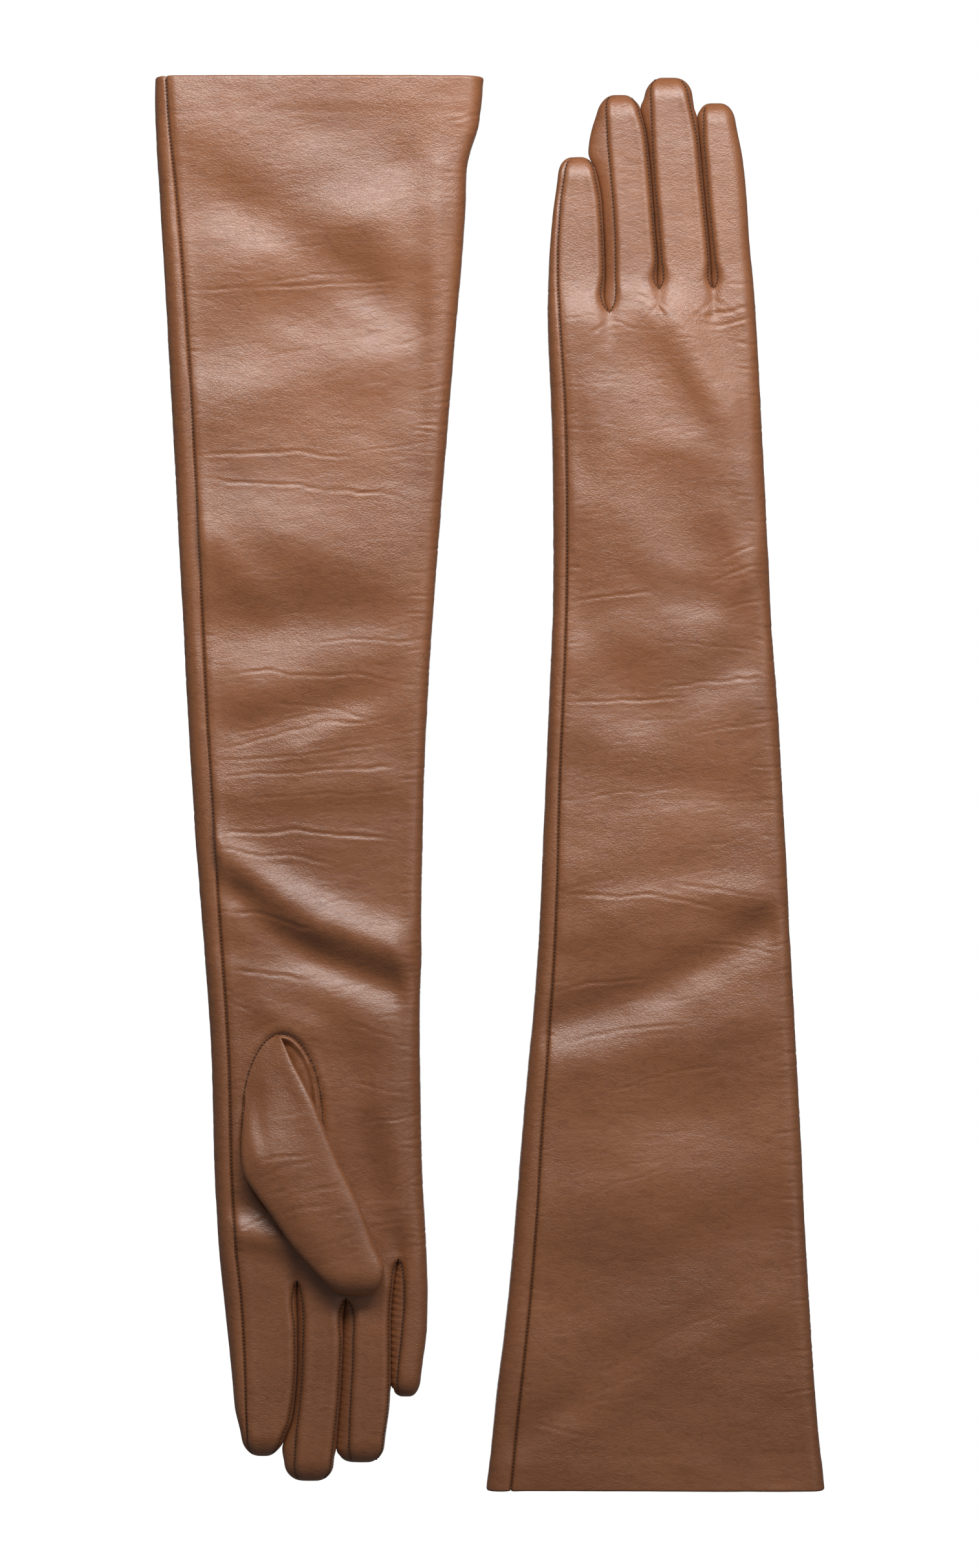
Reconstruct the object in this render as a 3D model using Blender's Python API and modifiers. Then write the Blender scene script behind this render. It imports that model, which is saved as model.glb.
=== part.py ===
"""A pair of long leather gloves lying flat side by side.

The right-hand glove lies palm up with its fingers towards -Y, its thumb folded over the palm. The left-hand
glove lies palm down with its fingers towards +Y, on top of its own thumb. Each glove is cut as the real one is:
a back panel and a palm panel sewn along both edges, fourchettes between the fingers, a thumb stall sewn into an
oval hole with a small gusset beside it, and the seam threads. Each finger and each thumb turns on a hinge where
it leaves the hand, so its leather is a separate piece from there on.

Outlines are in millimetres, as (y, x) points read in order of y.
"""

import math
from bisect import bisect

import bpy
from mathutils import Vector

MM = 0.001

# Leather and sewing
LEATHER = 0.8
HEM_LAYERS = 2.0  # the leather is turned in at the cuff
SEAM_GAP = 1.4
TIP_GAP_GROWTH = 0.7  # the seams part a little as a finger tapers
THREAD_RADIUS = 0.25
THREAD_SINK = 0.3
CLEARANCE = 0.3
LEAST_STEP = 0.02  # of one side, the least between two divisions

# Heights of the flattened tubes
SLEEVE_HEIGHT = 12.0
FINGER_HEIGHT = 11.0

# Radii of a tube's side corners, as shares of its height
OUTER_ROUND = 0.48
FOURCHETTE_ROUND = 0.2

# Fingertips: how far back the taper starts, and what is left of the height at the end
TIP_LENGTH = 9.0
TIP_HEIGHT = 3.2
TIP_LIFT = 0.35
TIP_STEPS = (0.0, 1.2, 3.0, 5.5, TIP_LENGTH)
TIP_STITCH = 0.7  # how far past the tip the finger's thread turns back

LEATHER_COLOUR = (0.29, 0.145, 0.085, 1.0)
THREAD_COLOUR = (0.045, 0.017, 0.009, 1.0)

RIGHT_SLEEVE = {
    "left": [(-207, -107.3), (-193, -108.4), (-158, -110.5), (-111, -111.8), (-41, -116.7), (29, -121.4),
             (99, -124.8), (169, -128.7), (240, -132.9), (263, -134.2), (283.5, -134.2)],
    "right": [(-207, -24.7), (-193, -25.0), (-158, -26.8), (-111, -27.8), (-41, -27.0), (29, -25.0),
              (99, -20.5), (169, -15.1), (240, -9.4), (263, -4.9), (283.5, -2.4)],
    "seam": [(-207, 7.0), (-100, 7.4), (-20, 7.0), (100, 6.5), (283.5, 6.1)],
}
LEFT_SLEEVE = {
    "left": [(-283.5, -2.0), (-252, 2.3), (-205, 7.8), (-135, 13.8), (-65, 19.8), (5, 22.9), (76, 25.7),
             (146, 25.2), (181, 23.7), (198, 23.3)],
    "right": [(-283.5, 134.2), (-252, 131.0), (-205, 127.9), (-135, 124.5), (-65, 121.2), (5, 117.8),
              (76, 113.1), (146, 109.7), (181, 107.9), (198, 107.1)],
    "seam": [(-283.5, 10.0), (-205, 9.0), (-111, 7.8), (5, 6.2), (198, 6.1)],
}

# Each finger: its two edges from the hinge line to the tip
RIGHT_FINGERS = {
    "index": {
        "left": [(-200, -107.8), (-217, -105.8), (-240, -103.5), (-253, -102.2), (-264, -99.5), (-270, -95.6)],
        "right": [(-200, -77.8), (-221, -77.3), (-241, -77.7), (-256, -79.2), (-265, -82.6), (-270, -88.3)],
    },
    "middle": {
        "left": [(-207, -75.2), (-226, -74.9), (-247, -75.9), (-262, -77.7), (-274, -77.8), (-280, -74.0)],
        "right": [(-207, -58.5), (-226, -59.0), (-247, -60.1), (-265, -61.6), (-275, -63.5), (-280, -67.5)],
    },
    "ring": {
        "left": [(-207, -55.6), (-226, -54.6), (-247, -55.6), (-265, -56.2), (-270, -54.8), (-272.5, -52.5)],
        "right": [(-207, -39.4), (-231, -39.6), (-252, -40.3), (-263, -41.9), (-269, -44.5), (-272.5, -47.5)],
    },
    "pinky": {
        "left": [(-191, -36.6), (-207, -37.4), (-223, -37.6), (-236, -37.6), (-242, -37.2), (-246, -36.0)],
        "right": [(-191, -25.0), (-207, -24.8), (-222, -25.2), (-235, -27.0), (-242, -29.0), (-246, -30.8)],
    },
}
LEFT_FINGERS = {
    "index": {
        "left": [(198, 90.9), (219, 89.4), (240, 87.1), (260, 85.3), (269, 85.6), (273.5, 88.0)],
        "right": [(198, 107.1), (216, 105.0), (240, 103.5), (255, 101.7), (268, 99.1), (273.5, 94.0)],
    },
    "middle": {
        "left": [(198, 70.2), (221, 68.6), (242, 66.8), (263, 65.5), (278, 65.6), (282.6, 69.0)],
        "right": [(198, 88.8), (221, 87.1), (242, 85.0), (260, 83.7), (276, 80.8), (282.6, 76.0)],
    },
    "ring": {
        "left": [(198, 50.2), (216, 50.6), (240, 49.2), (262, 47.4), (272, 48.2), (276.8, 51.0)],
        "right": [(198, 67.5), (221, 66.8), (242, 65.3), (263, 63.0), (272, 60.4), (276.8, 56.4)],
    },
    "pinky": {
        "left": [(188.5, 23.3), (204, 23.9), (228, 25.5), (240, 27.3), (247, 29.2), (251.8, 32.4)],
        "right": [(188.5, 47.1), (206, 46.5), (226, 45.8), (237, 45.2), (246, 43.0), (251.8, 39.3)],
    },
}

# The thumb of the right-hand glove, from the top of its oval hole to its tip
THUMB_LEFT = [(-205.5, -56.5), (-203, -61.4), (-198, -67.0), (-187, -77.0), (-172, -87.4), (-157, -97.0),
              (-145, -97.9), (-135, -97.5), (-116, -95.7), (-106, -91.6), (-102, -87.0)]
THUMB_RIGHT = [(-205.5, -49.5), (-203, -46.0), (-198, -43.0), (-191, -42.3), (-183, -46.3), (-170, -51.0),
               (-154, -58.8), (-136, -66.6), (-124, -71.8), (-110, -79.6), (-102, -83.6)]
THUMB_STATIONS = (-205.5, -204.6, -203, -199, -191, -180, -173, -165, -156, -146, -140, -130, -118, -108, -102)
HOLE_CENTRE = (-83.0, -136.0)
HOLE_RADII = (15.8, 35.5)
THUMB_HINGE_Y = -140.0
THUMB_SOLE_Y = -173.0  # towards the tip from here the stall has an underside
GUSSET_WIDTH = 8.0
THREAD_OUTSET = 1.4

# Thumb heights, and how the left-hand glove rises over its own thumb
RIGHT_THUMB_HEIGHT = 9.5
LEFT_THUMB_HEIGHT = 5.0
THUMB_SHRINK = 0.92
LEFT_THUMB_TIP_Y = 187.0
RIGHT_THUMB_TIP_Y = -205.5
LEFT_THUMB_SHIFT_X = -1.5
RISE_START = (85.0, 106.0)
RISE_END = (55.0, 177.0)
RISE_RADIUS = 20.0
RISE_FADE = 13.0
RISE_TOP_SHARE = 0.5
RISE_END_Y = (190.0, 197.0)

# Hinge lines across the knuckles
RIGHT_KNUCKLES = {"index": -200.0, "middle": -207.0, "ring": -207.0, "pinky": -191.0}
LEFT_KNUCKLES = {"index": 198.0, "middle": 198.0, "ring": 198.0, "pinky": 188.5}

# Where each hand and sleeve is cut into rings, closest where its outline or height changes fastest. The last
# two rings at the cuff are the turned-in hem.
RIGHT_STATIONS = (-207, -199.5, -190.5, -171, -150, -125, -100, -60, -20, 25, 70, 115, 160, 205, 240, 262,
                  269.9, 270.5, 283.5)
LEFT_STATIONS = (-283.5, -270.5, -269.9, -240, -200, -160, -115, -70, -25, 15, 50, 75, 88, 100, 115, 130,
                 145, 160, 173, 183, 188, 192, 197, 198)
RIGHT_HEM = (len(RIGHT_STATIONS) - 2, len(RIGHT_STATIONS) - 1)
LEFT_HEM = (0, 1)
RIGHT_ROWS = 4  # steps across the flat of the glove
LEFT_ROWS = 12  # more, because it bends over its thumb

# Steps in the hands' ends, from the line between two fingers out past the hand's edge
RIGHT_INDEX_STEP = (-125.0, -76.4)
RIGHT_PINKY_STEP = (-38.4, -10.0)
LEFT_PINKY_STEP = (0.0, 48.6)
STEP_END = {"right": -215.0, "left": 210.0}
CUT_BELOW = -5.0
CUT_ABOVE = SLEEVE_HEIGHT + 12.0
HOLE_CUT_DEPTH = 4.0  # through one panel and no further


def along(points, y):
    """The value at y of a smooth curve through (y, value) points."""
    points = sorted(points)
    places = [p[0] for p in points]
    y = min(max(y, places[0]), places[-1])
    i = min(max(bisect(places, y) - 1, 0), len(points) - 2)

    def slope(k):
        low, high = max(k - 1, 0), min(k + 1, len(points) - 1)
        return (points[high][1] - points[low][1]) / (points[high][0] - points[low][0])

    (y0, v0), (y1, v1) = points[i], points[i + 1]
    step = y1 - y0
    t = (y - y0) / step
    t2, t3 = t * t, t * t * t
    return (
        (2 * t3 - 3 * t2 + 1) * v0
        + (t3 - 2 * t2 + t) * step * slope(i)
        + (3 * t2 - 2 * t3) * v1
        + (t3 - t2) * step * slope(i + 1)
    )


def smooth(t):
    """0 up to t = 0, 1 from t = 1 on, and a soft step between."""
    t = min(max(t, 0.0), 1.0)
    return t * t * (3 - 2 * t)


class Section:
    """A flattened tube cut at one y. s runs 0..1 along the top from left to right, 1..2 down the right side,
    2..3 back along the bottom and 3..4 up the left side."""

    def __init__(self, y, left, right, low, height, round_left, round_right):
        self.y, self.left, self.right, self.low, self.height = y, left, right, low, height
        self.round_left, self.round_right = round_left * height, round_right * height
        self.gap = SEAM_GAP * (1 + TIP_GAP_GROWTH * max(0.0, 1 - height / FINGER_HEIGHT))

    def length(self, s):
        """How long the side that s lies on is."""
        side = int(s % 4)
        if side in (0, 2):
            return self.right - self.left - self.round_left - self.round_right
        r = self.round_right if side == 1 else self.round_left
        return math.pi * r + self.height - 2 * r

    def point(self, s):
        side, f = int(s % 4), s % 1
        top = self.low + self.height
        if side in (0, 2):
            start = self.left + self.round_left
            end = self.right - self.round_right
            share = f if side == 0 else 1 - f
            return Vector((start + (end - start) * share, self.y, top if side == 0 else self.low))
        r = self.round_right if side == 1 else self.round_left
        down = (f if side == 1 else 1 - f) * self.length(s)
        quarter, straight = math.pi / 2 * r, self.height - 2 * r
        if down < quarter:
            inset, drop = r - r * math.sin(down / r), r - r * math.cos(down / r)
        elif down < quarter + straight:
            inset, drop = 0.0, r + down - quarter
        else:
            turn = (down - quarter - straight) / r
            inset, drop = r - r * math.cos(turn), self.height - r + r * math.sin(turn)
        x = self.right - inset if side == 1 else self.left + inset
        return Vector((x, self.y, top - drop))


def spread(breaks, counts):
    """The s values from the first break to the last, with so many steps between each two."""
    values = [breaks[0]]
    for low, high, count in zip(breaks, breaks[1:], counts):
        values += [low + (high - low) * (k + 1) / count for k in range(count)]
    return values


def side_marks(section, side):
    """Where a side's round corners are divided, as shares of its length."""
    r = section.round_right if side % 4 == 1 else section.round_left
    corner = math.pi / 2 * r / section.length(side)
    if corner > 0.4:
        return [0.2, 0.4, 0.6, 0.8]
    return [corner / 2, corner, 1 - corner, 1 - corner / 2]


def strip_values(section, start, end, rows):
    """The s values of one strip of leather, half a seam gap short of the seam at each end. rows is how many
    steps it takes across the flat of the glove."""
    low = start + section.gap / 2 / section.length(start)
    high = end - section.gap / 2 / section.length(end - 1e-6)
    values = [low]
    for side in range(math.floor(start), math.ceil(end - 1e-6)):
        if side in (1, 3):
            marks = side_marks(section, side)
            for k, mark in enumerate(marks):
                least = low + LEAST_STEP * (k + 1)
                most = high - LEAST_STEP * (len(marks) + 1 - k)
                values.append(min(max(side + mark, least), most))
            reach = min(side + 1, high - LEAST_STEP)
        elif side == 4:
            continue
        else:
            reach = side + 1 if end > side + 1 else high
            values += spread([values[-1], reach], [rows])[1:-1]
        values.append(reach)
    if values[-1] < high:
        values.append(high)
    return values


def material(name, colour, roughness):
    made = bpy.data.materials.new(name)
    made.use_nodes = True
    shader = made.node_tree.nodes["Principled BSDF"]
    shader.inputs["Base Color"].default_value = colour
    shader.inputs["Roughness"].default_value = roughness
    shader.inputs["Metallic"].default_value = 0.0
    made.diffuse_color = colour
    return made


class Bench:
    """Where the pieces are put together: the collections, and the empty that each new piece hangs on."""

    def __init__(self):
        for old in list(bpy.data.objects):
            bpy.data.objects.remove(old, do_unlink=True)
        self.parts = bpy.data.collections.new("leather_gloves")
        self.cutters = bpy.data.collections.new("cutters")
        for collection in (self.parts, self.cutters):
            bpy.context.scene.collection.children.link(collection)

    def pivot(self, name, place, parent=None):
        """An empty on a joint's axis."""
        empty = bpy.data.objects.new(name, None)
        empty.empty_display_size = 0.02
        empty["place"] = [c * MM for c in place]
        above = Vector(parent["place"]) if parent else Vector()
        empty.location = Vector(empty["place"]) - above
        empty.parent = parent
        self.parts.objects.link(empty)
        return empty

    def add(self, name, data, pivot, colour, roughness):
        piece = bpy.data.objects.new(name, data)
        piece.parent = pivot
        data.materials.append(material(name, colour, roughness))
        self.parts.objects.link(piece)
        return piece

    def leather(self, name, rings, pivot, closed=False, skip=None, hem=None, cap=None):
        """A shell of leather through rings of points in order of y, thickened inwards. skip says which faces
        are left out, hem which rings are folded double, and cap which ring is closed at the tip."""
        count = len(rings[0])
        points = [(p * MM - Vector(pivot["place"])) for ring in rings for p in ring]
        faces = []
        for i in range(len(rings) - 1):
            for j in range(count if closed else count - 1):
                if skip and skip(i, j):
                    continue
                k = (j + 1) % count
                faces.append((i * count + j, i * count + k, (i + 1) * count + k, (i + 1) * count + j))
        if cap is not None:
            ring = [cap * count + j for j in range(count)]
            faces.append(ring if cap else ring[::-1])
        mesh = bpy.data.meshes.new(name)
        mesh.from_pydata(points, [], faces)
        mesh.shade_smooth()
        piece = self.add(name, mesh, pivot, LEATHER_COLOUR, 0.45)
        shell = piece.modifiers.new("leather", "SOLIDIFY")
        shell.offset = -1.0
        shell.use_even_offset = True
        shell.thickness = LEATHER * MM
        if hem:
            shell.thickness = LEATHER * HEM_LAYERS * MM
            folded = piece.vertex_groups.new(name="hem")
            folded.add([i * count + j for i in hem for j in range(count)], 1.0, "REPLACE")
            shell.vertex_group = "hem"
            shell.thickness_vertex_group = 1 / HEM_LAYERS
        return piece

    def thread(self, name, path, pivot):
        """A seam thread along a path."""
        curve = bpy.data.curves.new(name, "CURVE")
        curve.dimensions = "3D"
        curve.bevel_depth = THREAD_RADIUS * MM
        curve.bevel_resolution = 1
        curve.use_fill_caps = True
        spline = curve.splines.new("POLY")
        spline.points.add(len(path) - 1)
        for point, place in zip(spline.points, path):
            point.co = (*(place * MM - Vector(pivot["place"])), 1.0)
        return self.add(name, curve, pivot, THREAD_COLOUR, 0.6)

    def cut(self, piece, cutter):
        """Takes the cutter's shape out of a piece."""
        hollow = piece.modifiers.new(cutter.name, "BOOLEAN")
        hollow.operation = "DIFFERENCE"
        hollow.object = cutter

    def keep_cutter(self, cutter):
        for collection in list(cutter.users_collection):
            collection.objects.unlink(cutter)
        self.cutters.objects.link(cutter)
        cutter.hide_render = True
        cutter.display_type = "WIRE"
        return cutter

    def step_cutter(self, side, finger, x_range, knuckle_y):
        """Cuts a hand's end back to a finger's hinge line."""
        bpy.ops.mesh.primitive_cube_add(size=1.0)
        cutter = bpy.context.object
        cutter.name = f"{side}_{finger}_step"
        near, far = sorted((knuckle_y, STEP_END[side]))
        low = Vector((x_range[0], near, CUT_BELOW)) * MM
        high = Vector((x_range[1], far, CUT_ABOVE)) * MM
        cutter.location = (low + high) / 2
        cutter.scale = high - low
        return self.keep_cutter(cutter)

    def oval_cutter(self, name, centre, radii, low, high):
        bpy.ops.mesh.primitive_cylinder_add(vertices=32, radius=1.0, depth=1.0)
        cutter = bpy.context.object
        cutter.name = name
        cutter.location = Vector((*centre, (low + high) / 2)) * MM
        cutter.scale = Vector((*radii, high - low)) * MM
        return self.keep_cutter(cutter)


def sleeve_sections(sleeve, stations):
    """The hand and sleeve as one flattened tube."""
    return [
        Section(y, along(sleeve["left"], y), along(sleeve["right"], y), 0.0, SLEEVE_HEIGHT,
                OUTER_ROUND, OUTER_ROUND)
        for y in stations
    ]


def thumb_rise(point):
    """How far the left-hand glove's leather is lifted by the thumb under it."""
    a, b = Vector(RISE_START), Vector(RISE_END)
    p = Vector((point.x, point.y))
    share = min(max((p - a).dot(b - a) / (b - a).length_squared, 0.0), 1.0)
    apart = (p - a.lerp(b, share)).length
    end = smooth((RISE_END_Y[1] - point.y) / (RISE_END_Y[1] - RISE_END_Y[0]))
    rise = LEFT_THUMB_HEIGHT + 2 * CLEARANCE
    return rise * end * smooth((RISE_RADIUS + RISE_FADE - apart) / RISE_FADE)


def lifted(point):
    """The point moved up over the thumb: fully at the bottom of the glove, and in part at its top."""
    share = 1 + (RISE_TOP_SHARE - 1) * point.z / SLEEVE_HEIGHT
    return point + Vector((0, 0, thumb_rise(point) * share))


def flat(point):
    return point


def build_sleeve(bench, side, upper, lower, sleeve, stations, pivot, hem_rings, shape, rows, seam_ends):
    """The two panels of one glove's hand and sleeve, and the threads of their two seams, which end where the
    outer fingers' own threads begin."""
    sections = sleeve_sections(sleeve, stations)
    seams = []
    for section in sections:
        offset = max(along(sleeve["seam"], section.y), section.round_left + 0.02)
        seams.append((offset - section.round_left) / section.length(0))
    upper_rings, lower_rings, top_path, under_path = [], [], [], []
    for section, seam in zip(sections, seams):
        over = strip_values(section, seam, 2, rows)
        under = strip_values(section, 2, 4 + seam, rows)
        upper_rings.append([shape(section.point(s)) for s in over])
        lower_rings.append([shape(section.point(s)) for s in under])
        sink = Vector((0, 0, THREAD_SINK))
        if section.y / seam_ends[0] <= 1:
            top_path.append(shape(section.point(seam)) - sink)
        if section.y / seam_ends[1] <= 1:
            under_path.append(shape(section.point(2)) + sink)
    top = bench.leather(f"{side}_{upper}_panel", upper_rings, pivot, hem=hem_rings)
    bottom = bench.leather(f"{side}_{lower}_panel", lower_rings, pivot, hem=hem_rings)
    bench.thread(f"{side}_outer_seam_thread", top_path, pivot)
    bench.thread(f"{side}_under_seam_thread", under_path, pivot)
    return top, bottom


def finger_sections(finger, hinge_y, round_left, round_right):
    """A finger from just past its hinge to its tip, in order of y."""
    tip_y = finger["left"][-1][0]
    way = tip_way(finger)
    start = hinge_y + way * CLEARANCE
    shoulder = tip_y - way * TIP_LENGTH
    stations = [start + (shoulder - start) * k / 3 for k in range(3)]
    stations += [tip_y - way * step for step in reversed(TIP_STEPS)]
    sections = []
    for y in sorted(stations):
        taper = 1 - min(abs(tip_y - y) / TIP_LENGTH, 1.0)
        height = TIP_HEIGHT + (FINGER_HEIGHT - TIP_HEIGHT) * (1 - taper * taper)
        low = TIP_LIFT * (FINGER_HEIGHT - height)
        sections.append(Section(y, along(finger["left"], y), along(finger["right"], y), low, height,
                                round_left, round_right))
    return sections


def build_finger(bench, side, upper, lower, name, finger, hinge_y, hinge_z, outer, hand):
    """One finger: its strip of the upper panel, its strip of the lower panel, its fourchettes and threads.
    outer is the side with no fourchette, or None: there the upper strip goes round a right-hand edge, and the
    lower strip round a left-hand one."""
    round_left = OUTER_ROUND if outer == "left" else FOURCHETTE_ROUND
    round_right = OUTER_ROUND if outer == "right" else FOURCHETTE_ROUND
    sections = finger_sections(finger, hinge_y, round_left, round_right)
    middle = (along(finger["left"], hinge_y) + along(finger["right"], hinge_y)) / 2
    pivot = bench.pivot(f"{side}_{name}_hinge", (middle, hinge_y, hinge_z), hand)

    upper_end = 2 if outer == "right" else 1
    lower_end = 4 if outer == "left" else 3
    strips = [(f"{side}_{name}_{upper}", 0, upper_end), (f"{side}_{name}_{lower}", 2, lower_end)]
    if outer != "right":
        strips.append((f"{side}_{name}_right_fourchette", 1, 2))
    if outer != "left":
        strips.append((f"{side}_{name}_left_fourchette", 3, 4))
    for piece, start, end in strips:
        rings = [[section.point(s) for s in strip_values(section, start, end, 2)] for section in sections]
        bench.leather(piece, rings, pivot)

    away = sections if tip_way(finger) > 0 else sections[::-1]

    def seam_point(section, seam):
        fullness = (section.height - TIP_HEIGHT) / (FINGER_HEIGHT - TIP_HEIGHT)
        way = -1 if seam < 2 else 1
        return section.point(seam) + Vector((0, 0, way * THREAD_SINK * (2 * fullness - 1)))

    def seam_path(*seams):
        """Up the first seam, round the tip and, if there is a second seam, back along it."""
        past = Vector((0, tip_way(finger) * TIP_STITCH, 0))
        path = [seam_point(section, seams[0]) for section in away[:-1]]
        path += [seam_point(away[-1], seam) + past for seam in seams]
        for seam in seams[1:]:
            path += [seam_point(section, seam) for section in away[-2::-1]]
        return path

    under = {"left": (2,), "right": (3,), None: (3, 2)}[outer]
    bench.thread(f"{side}_{name}_{upper}_seam_thread", seam_path(0, upper_end), pivot)
    bench.thread(f"{side}_{name}_{lower}_seam_thread", seam_path(*under), pivot)


def tip_way(finger):
    """1 if the finger points along +Y, -1 if along -Y."""
    return 1 if finger["left"][-1][0] > 0 else -1


def to_left_hand(y, x):
    """Where a point of the right-hand glove's thumb lies on the left-hand glove."""
    return LEFT_THUMB_TIP_Y + THUMB_SHRINK * (RIGHT_THUMB_TIP_Y - y), LEFT_THUMB_SHIFT_X - x


def thumb_sections(side, low, height):
    """The thumb from the top of its hole to its tip, in order of y, with the y along the right-hand thumb."""
    found = []
    for y in THUMB_STATIONS:
        left, right = along(THUMB_LEFT, y), along(THUMB_RIGHT, y)
        place = y
        if side == "left":
            place, near = to_left_hand(y, left)
            left, right = to_left_hand(y, right)[1], near
        tip = 1 - min((y - RIGHT_THUMB_TIP_Y) / TIP_LENGTH, 1.0)
        root = 1 - min((THUMB_STATIONS[-1] - y) / TIP_LENGTH, 1.0)
        taper = max(tip, root)
        tall = TIP_HEIGHT + (height - TIP_HEIGHT) * (1 - taper * taper)
        base = low if side == "right" else low + height - tall
        found.append((y, Section(place, left, right, base, tall, OUTER_ROUND, OUTER_ROUND)))
    return sorted(found, key=lambda pair: pair[1].y)


def build_thumb(bench, side, low, height, hand):
    """The thumb stall: a root sewn round the oval hole, and the stall proper, which turns where it leaves the
    hand. The root and the stall's first stretch are open towards the hand."""
    found = thumb_sections(side, low, height)
    values = spread([0, 1, 2, 3, 4], [3, 4, 3, 4])[:-1]
    open_side = (7, 8, 9) if side == "right" else (0, 1, 2)
    hinge_y = THUMB_HINGE_Y if side == "right" else to_left_hand(THUMB_HINGE_Y, 0)[0]
    hinge_z = low + height if side == "right" else low
    middle = [s for y, s in found if y == THUMB_HINGE_Y][0]
    pivot = bench.pivot(f"{side}_thumb_hinge", ((middle.left + middle.right) / 2, hinge_y, hinge_z), hand)

    root = [(y, s) for y, s in found if y >= THUMB_HINGE_Y]
    stall = [(y, s) for y, s in found if y <= THUMB_HINGE_Y]
    way = -1 if side == "right" else 1
    rings = {}
    for name, part in (("root", root), ("stall", stall)):
        rings[name] = [[section.point(s) for s in values] for _, section in part]
    edge = 0 if way > 0 else -1
    for point in rings["stall"][edge]:
        point.y += way * CLEARANCE / 2
    for point in rings["root"][-1 - edge]:
        point.y -= way * CLEARANCE / 2

    bench.leather(f"{side}_thumb_root", rings["root"], hand, closed=True, skip=lambda i, j: j in open_side)

    def mouth(i, j):
        return j in open_side and min(stall[i][0], stall[i + 1][0]) >= THUMB_SOLE_Y

    tip = 0 if side == "right" else len(stall) - 1
    bench.leather(f"{side}_thumb_stall", rings["stall"], pivot, closed=True, skip=mouth, cap=tip)


def hole_place(side):
    """The thumb hole's centre and radii on one glove."""
    if side == "right":
        return HOLE_CENTRE, HOLE_RADII
    y, x = to_left_hand(HOLE_CENTRE[1], HOLE_CENTRE[0])
    return (x, y), (HOLE_RADII[0], HOLE_RADII[1] * THUMB_SHRINK)


def oval_point(side, turn, grow):
    """A point on the thumb hole's edge, turned from the side away from the index finger towards the cuff."""
    (x, y), (rx, ry) = hole_place(side)
    way = 1 if side == "right" else -1
    return Vector((x + way * (rx + grow) * math.cos(turn), y + way * (ry + grow) * math.sin(turn), 0))


def build_gusset(bench, side, low, hand):
    """The crescent of leather beside the thumb's root, level with the palm panel."""
    turns = [math.radians(a) for a in range(-20, 81, 10)]
    rim = [oval_point(side, turn, -2 * CLEARANCE) for turn in turns]
    way = 1 if side == "right" else -1
    inner = [
        p - Vector((way * GUSSET_WIDTH * math.sin(math.pi * (k + 0.35) / (len(rim) - 0.3)), 0, 0))
        for k, p in enumerate(rim)
    ]
    outline = rim + inner[::-1]
    curve = bpy.data.curves.new(f"{side}_thumb_gusset", "CURVE")
    curve.dimensions = "2D"
    curve.fill_mode = "BOTH"
    curve.extrude = LEATHER / 2 * MM
    spline = curve.splines.new("POLY")
    spline.points.add(len(outline) - 1)
    spline.use_cyclic_u = True
    place = Vector(hand["place"])
    for point, corner in zip(spline.points, outline):
        point.co = (corner.x * MM - place.x, corner.y * MM - place.y, 0.0, 1.0)
    piece = bench.add(f"{side}_thumb_gusset", curve, hand, LEATHER_COLOUR, 0.45)
    piece.location.z = (low + LEATHER / 2) * MM - place.z


def build_oval_thread(bench, side, hand):
    """The thread round the part of the thumb seam that the thumb doesn't cover."""
    apart = CLEARANCE + THREAD_RADIUS
    path = []
    for angle in range(10, 201, 10):
        point = oval_point(side, math.radians(angle), THREAD_OUTSET)
        level = SLEEVE_HEIGHT + apart if side == "right" else thumb_rise(point) - apart
        path.append(point + Vector((0, 0, level)))
    bench.thread(f"{side}_thumb_seam_thread", path, hand)


def build_right_glove(bench):
    """The right-hand glove, palm up."""
    hand = bench.pivot("right_glove", (-80.0, 0.0, 0.0))
    palm, back = build_sleeve(bench, "right", "palm", "back", RIGHT_SLEEVE, RIGHT_STATIONS, hand,
                              RIGHT_HEM, flat, RIGHT_ROWS, (RIGHT_KNUCKLES["index"], RIGHT_KNUCKLES["pinky"]))
    steps = [bench.step_cutter("right", "index", RIGHT_INDEX_STEP, RIGHT_KNUCKLES["index"]),
             bench.step_cutter("right", "pinky", RIGHT_PINKY_STEP, RIGHT_KNUCKLES["pinky"])]
    hole = bench.oval_cutter("right_thumb_hole", *hole_place("right"), SLEEVE_HEIGHT - HOLE_CUT_DEPTH,
                             CUT_ABOVE)
    for panel in (palm, back):
        for step in steps:
            bench.cut(panel, step)
    bench.cut(palm, hole)
    outer = {"index": "left", "pinky": "right"}
    for name, finger in RIGHT_FINGERS.items():
        build_finger(bench, "right", "palm", "back", name, finger, RIGHT_KNUCKLES[name], SLEEVE_HEIGHT,
                     outer.get(name), hand)
    build_thumb(bench, "right", SLEEVE_HEIGHT + CLEARANCE, RIGHT_THUMB_HEIGHT, hand)
    build_gusset(bench, "right", SLEEVE_HEIGHT - LEATHER, hand)
    build_oval_thread(bench, "right", hand)


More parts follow.
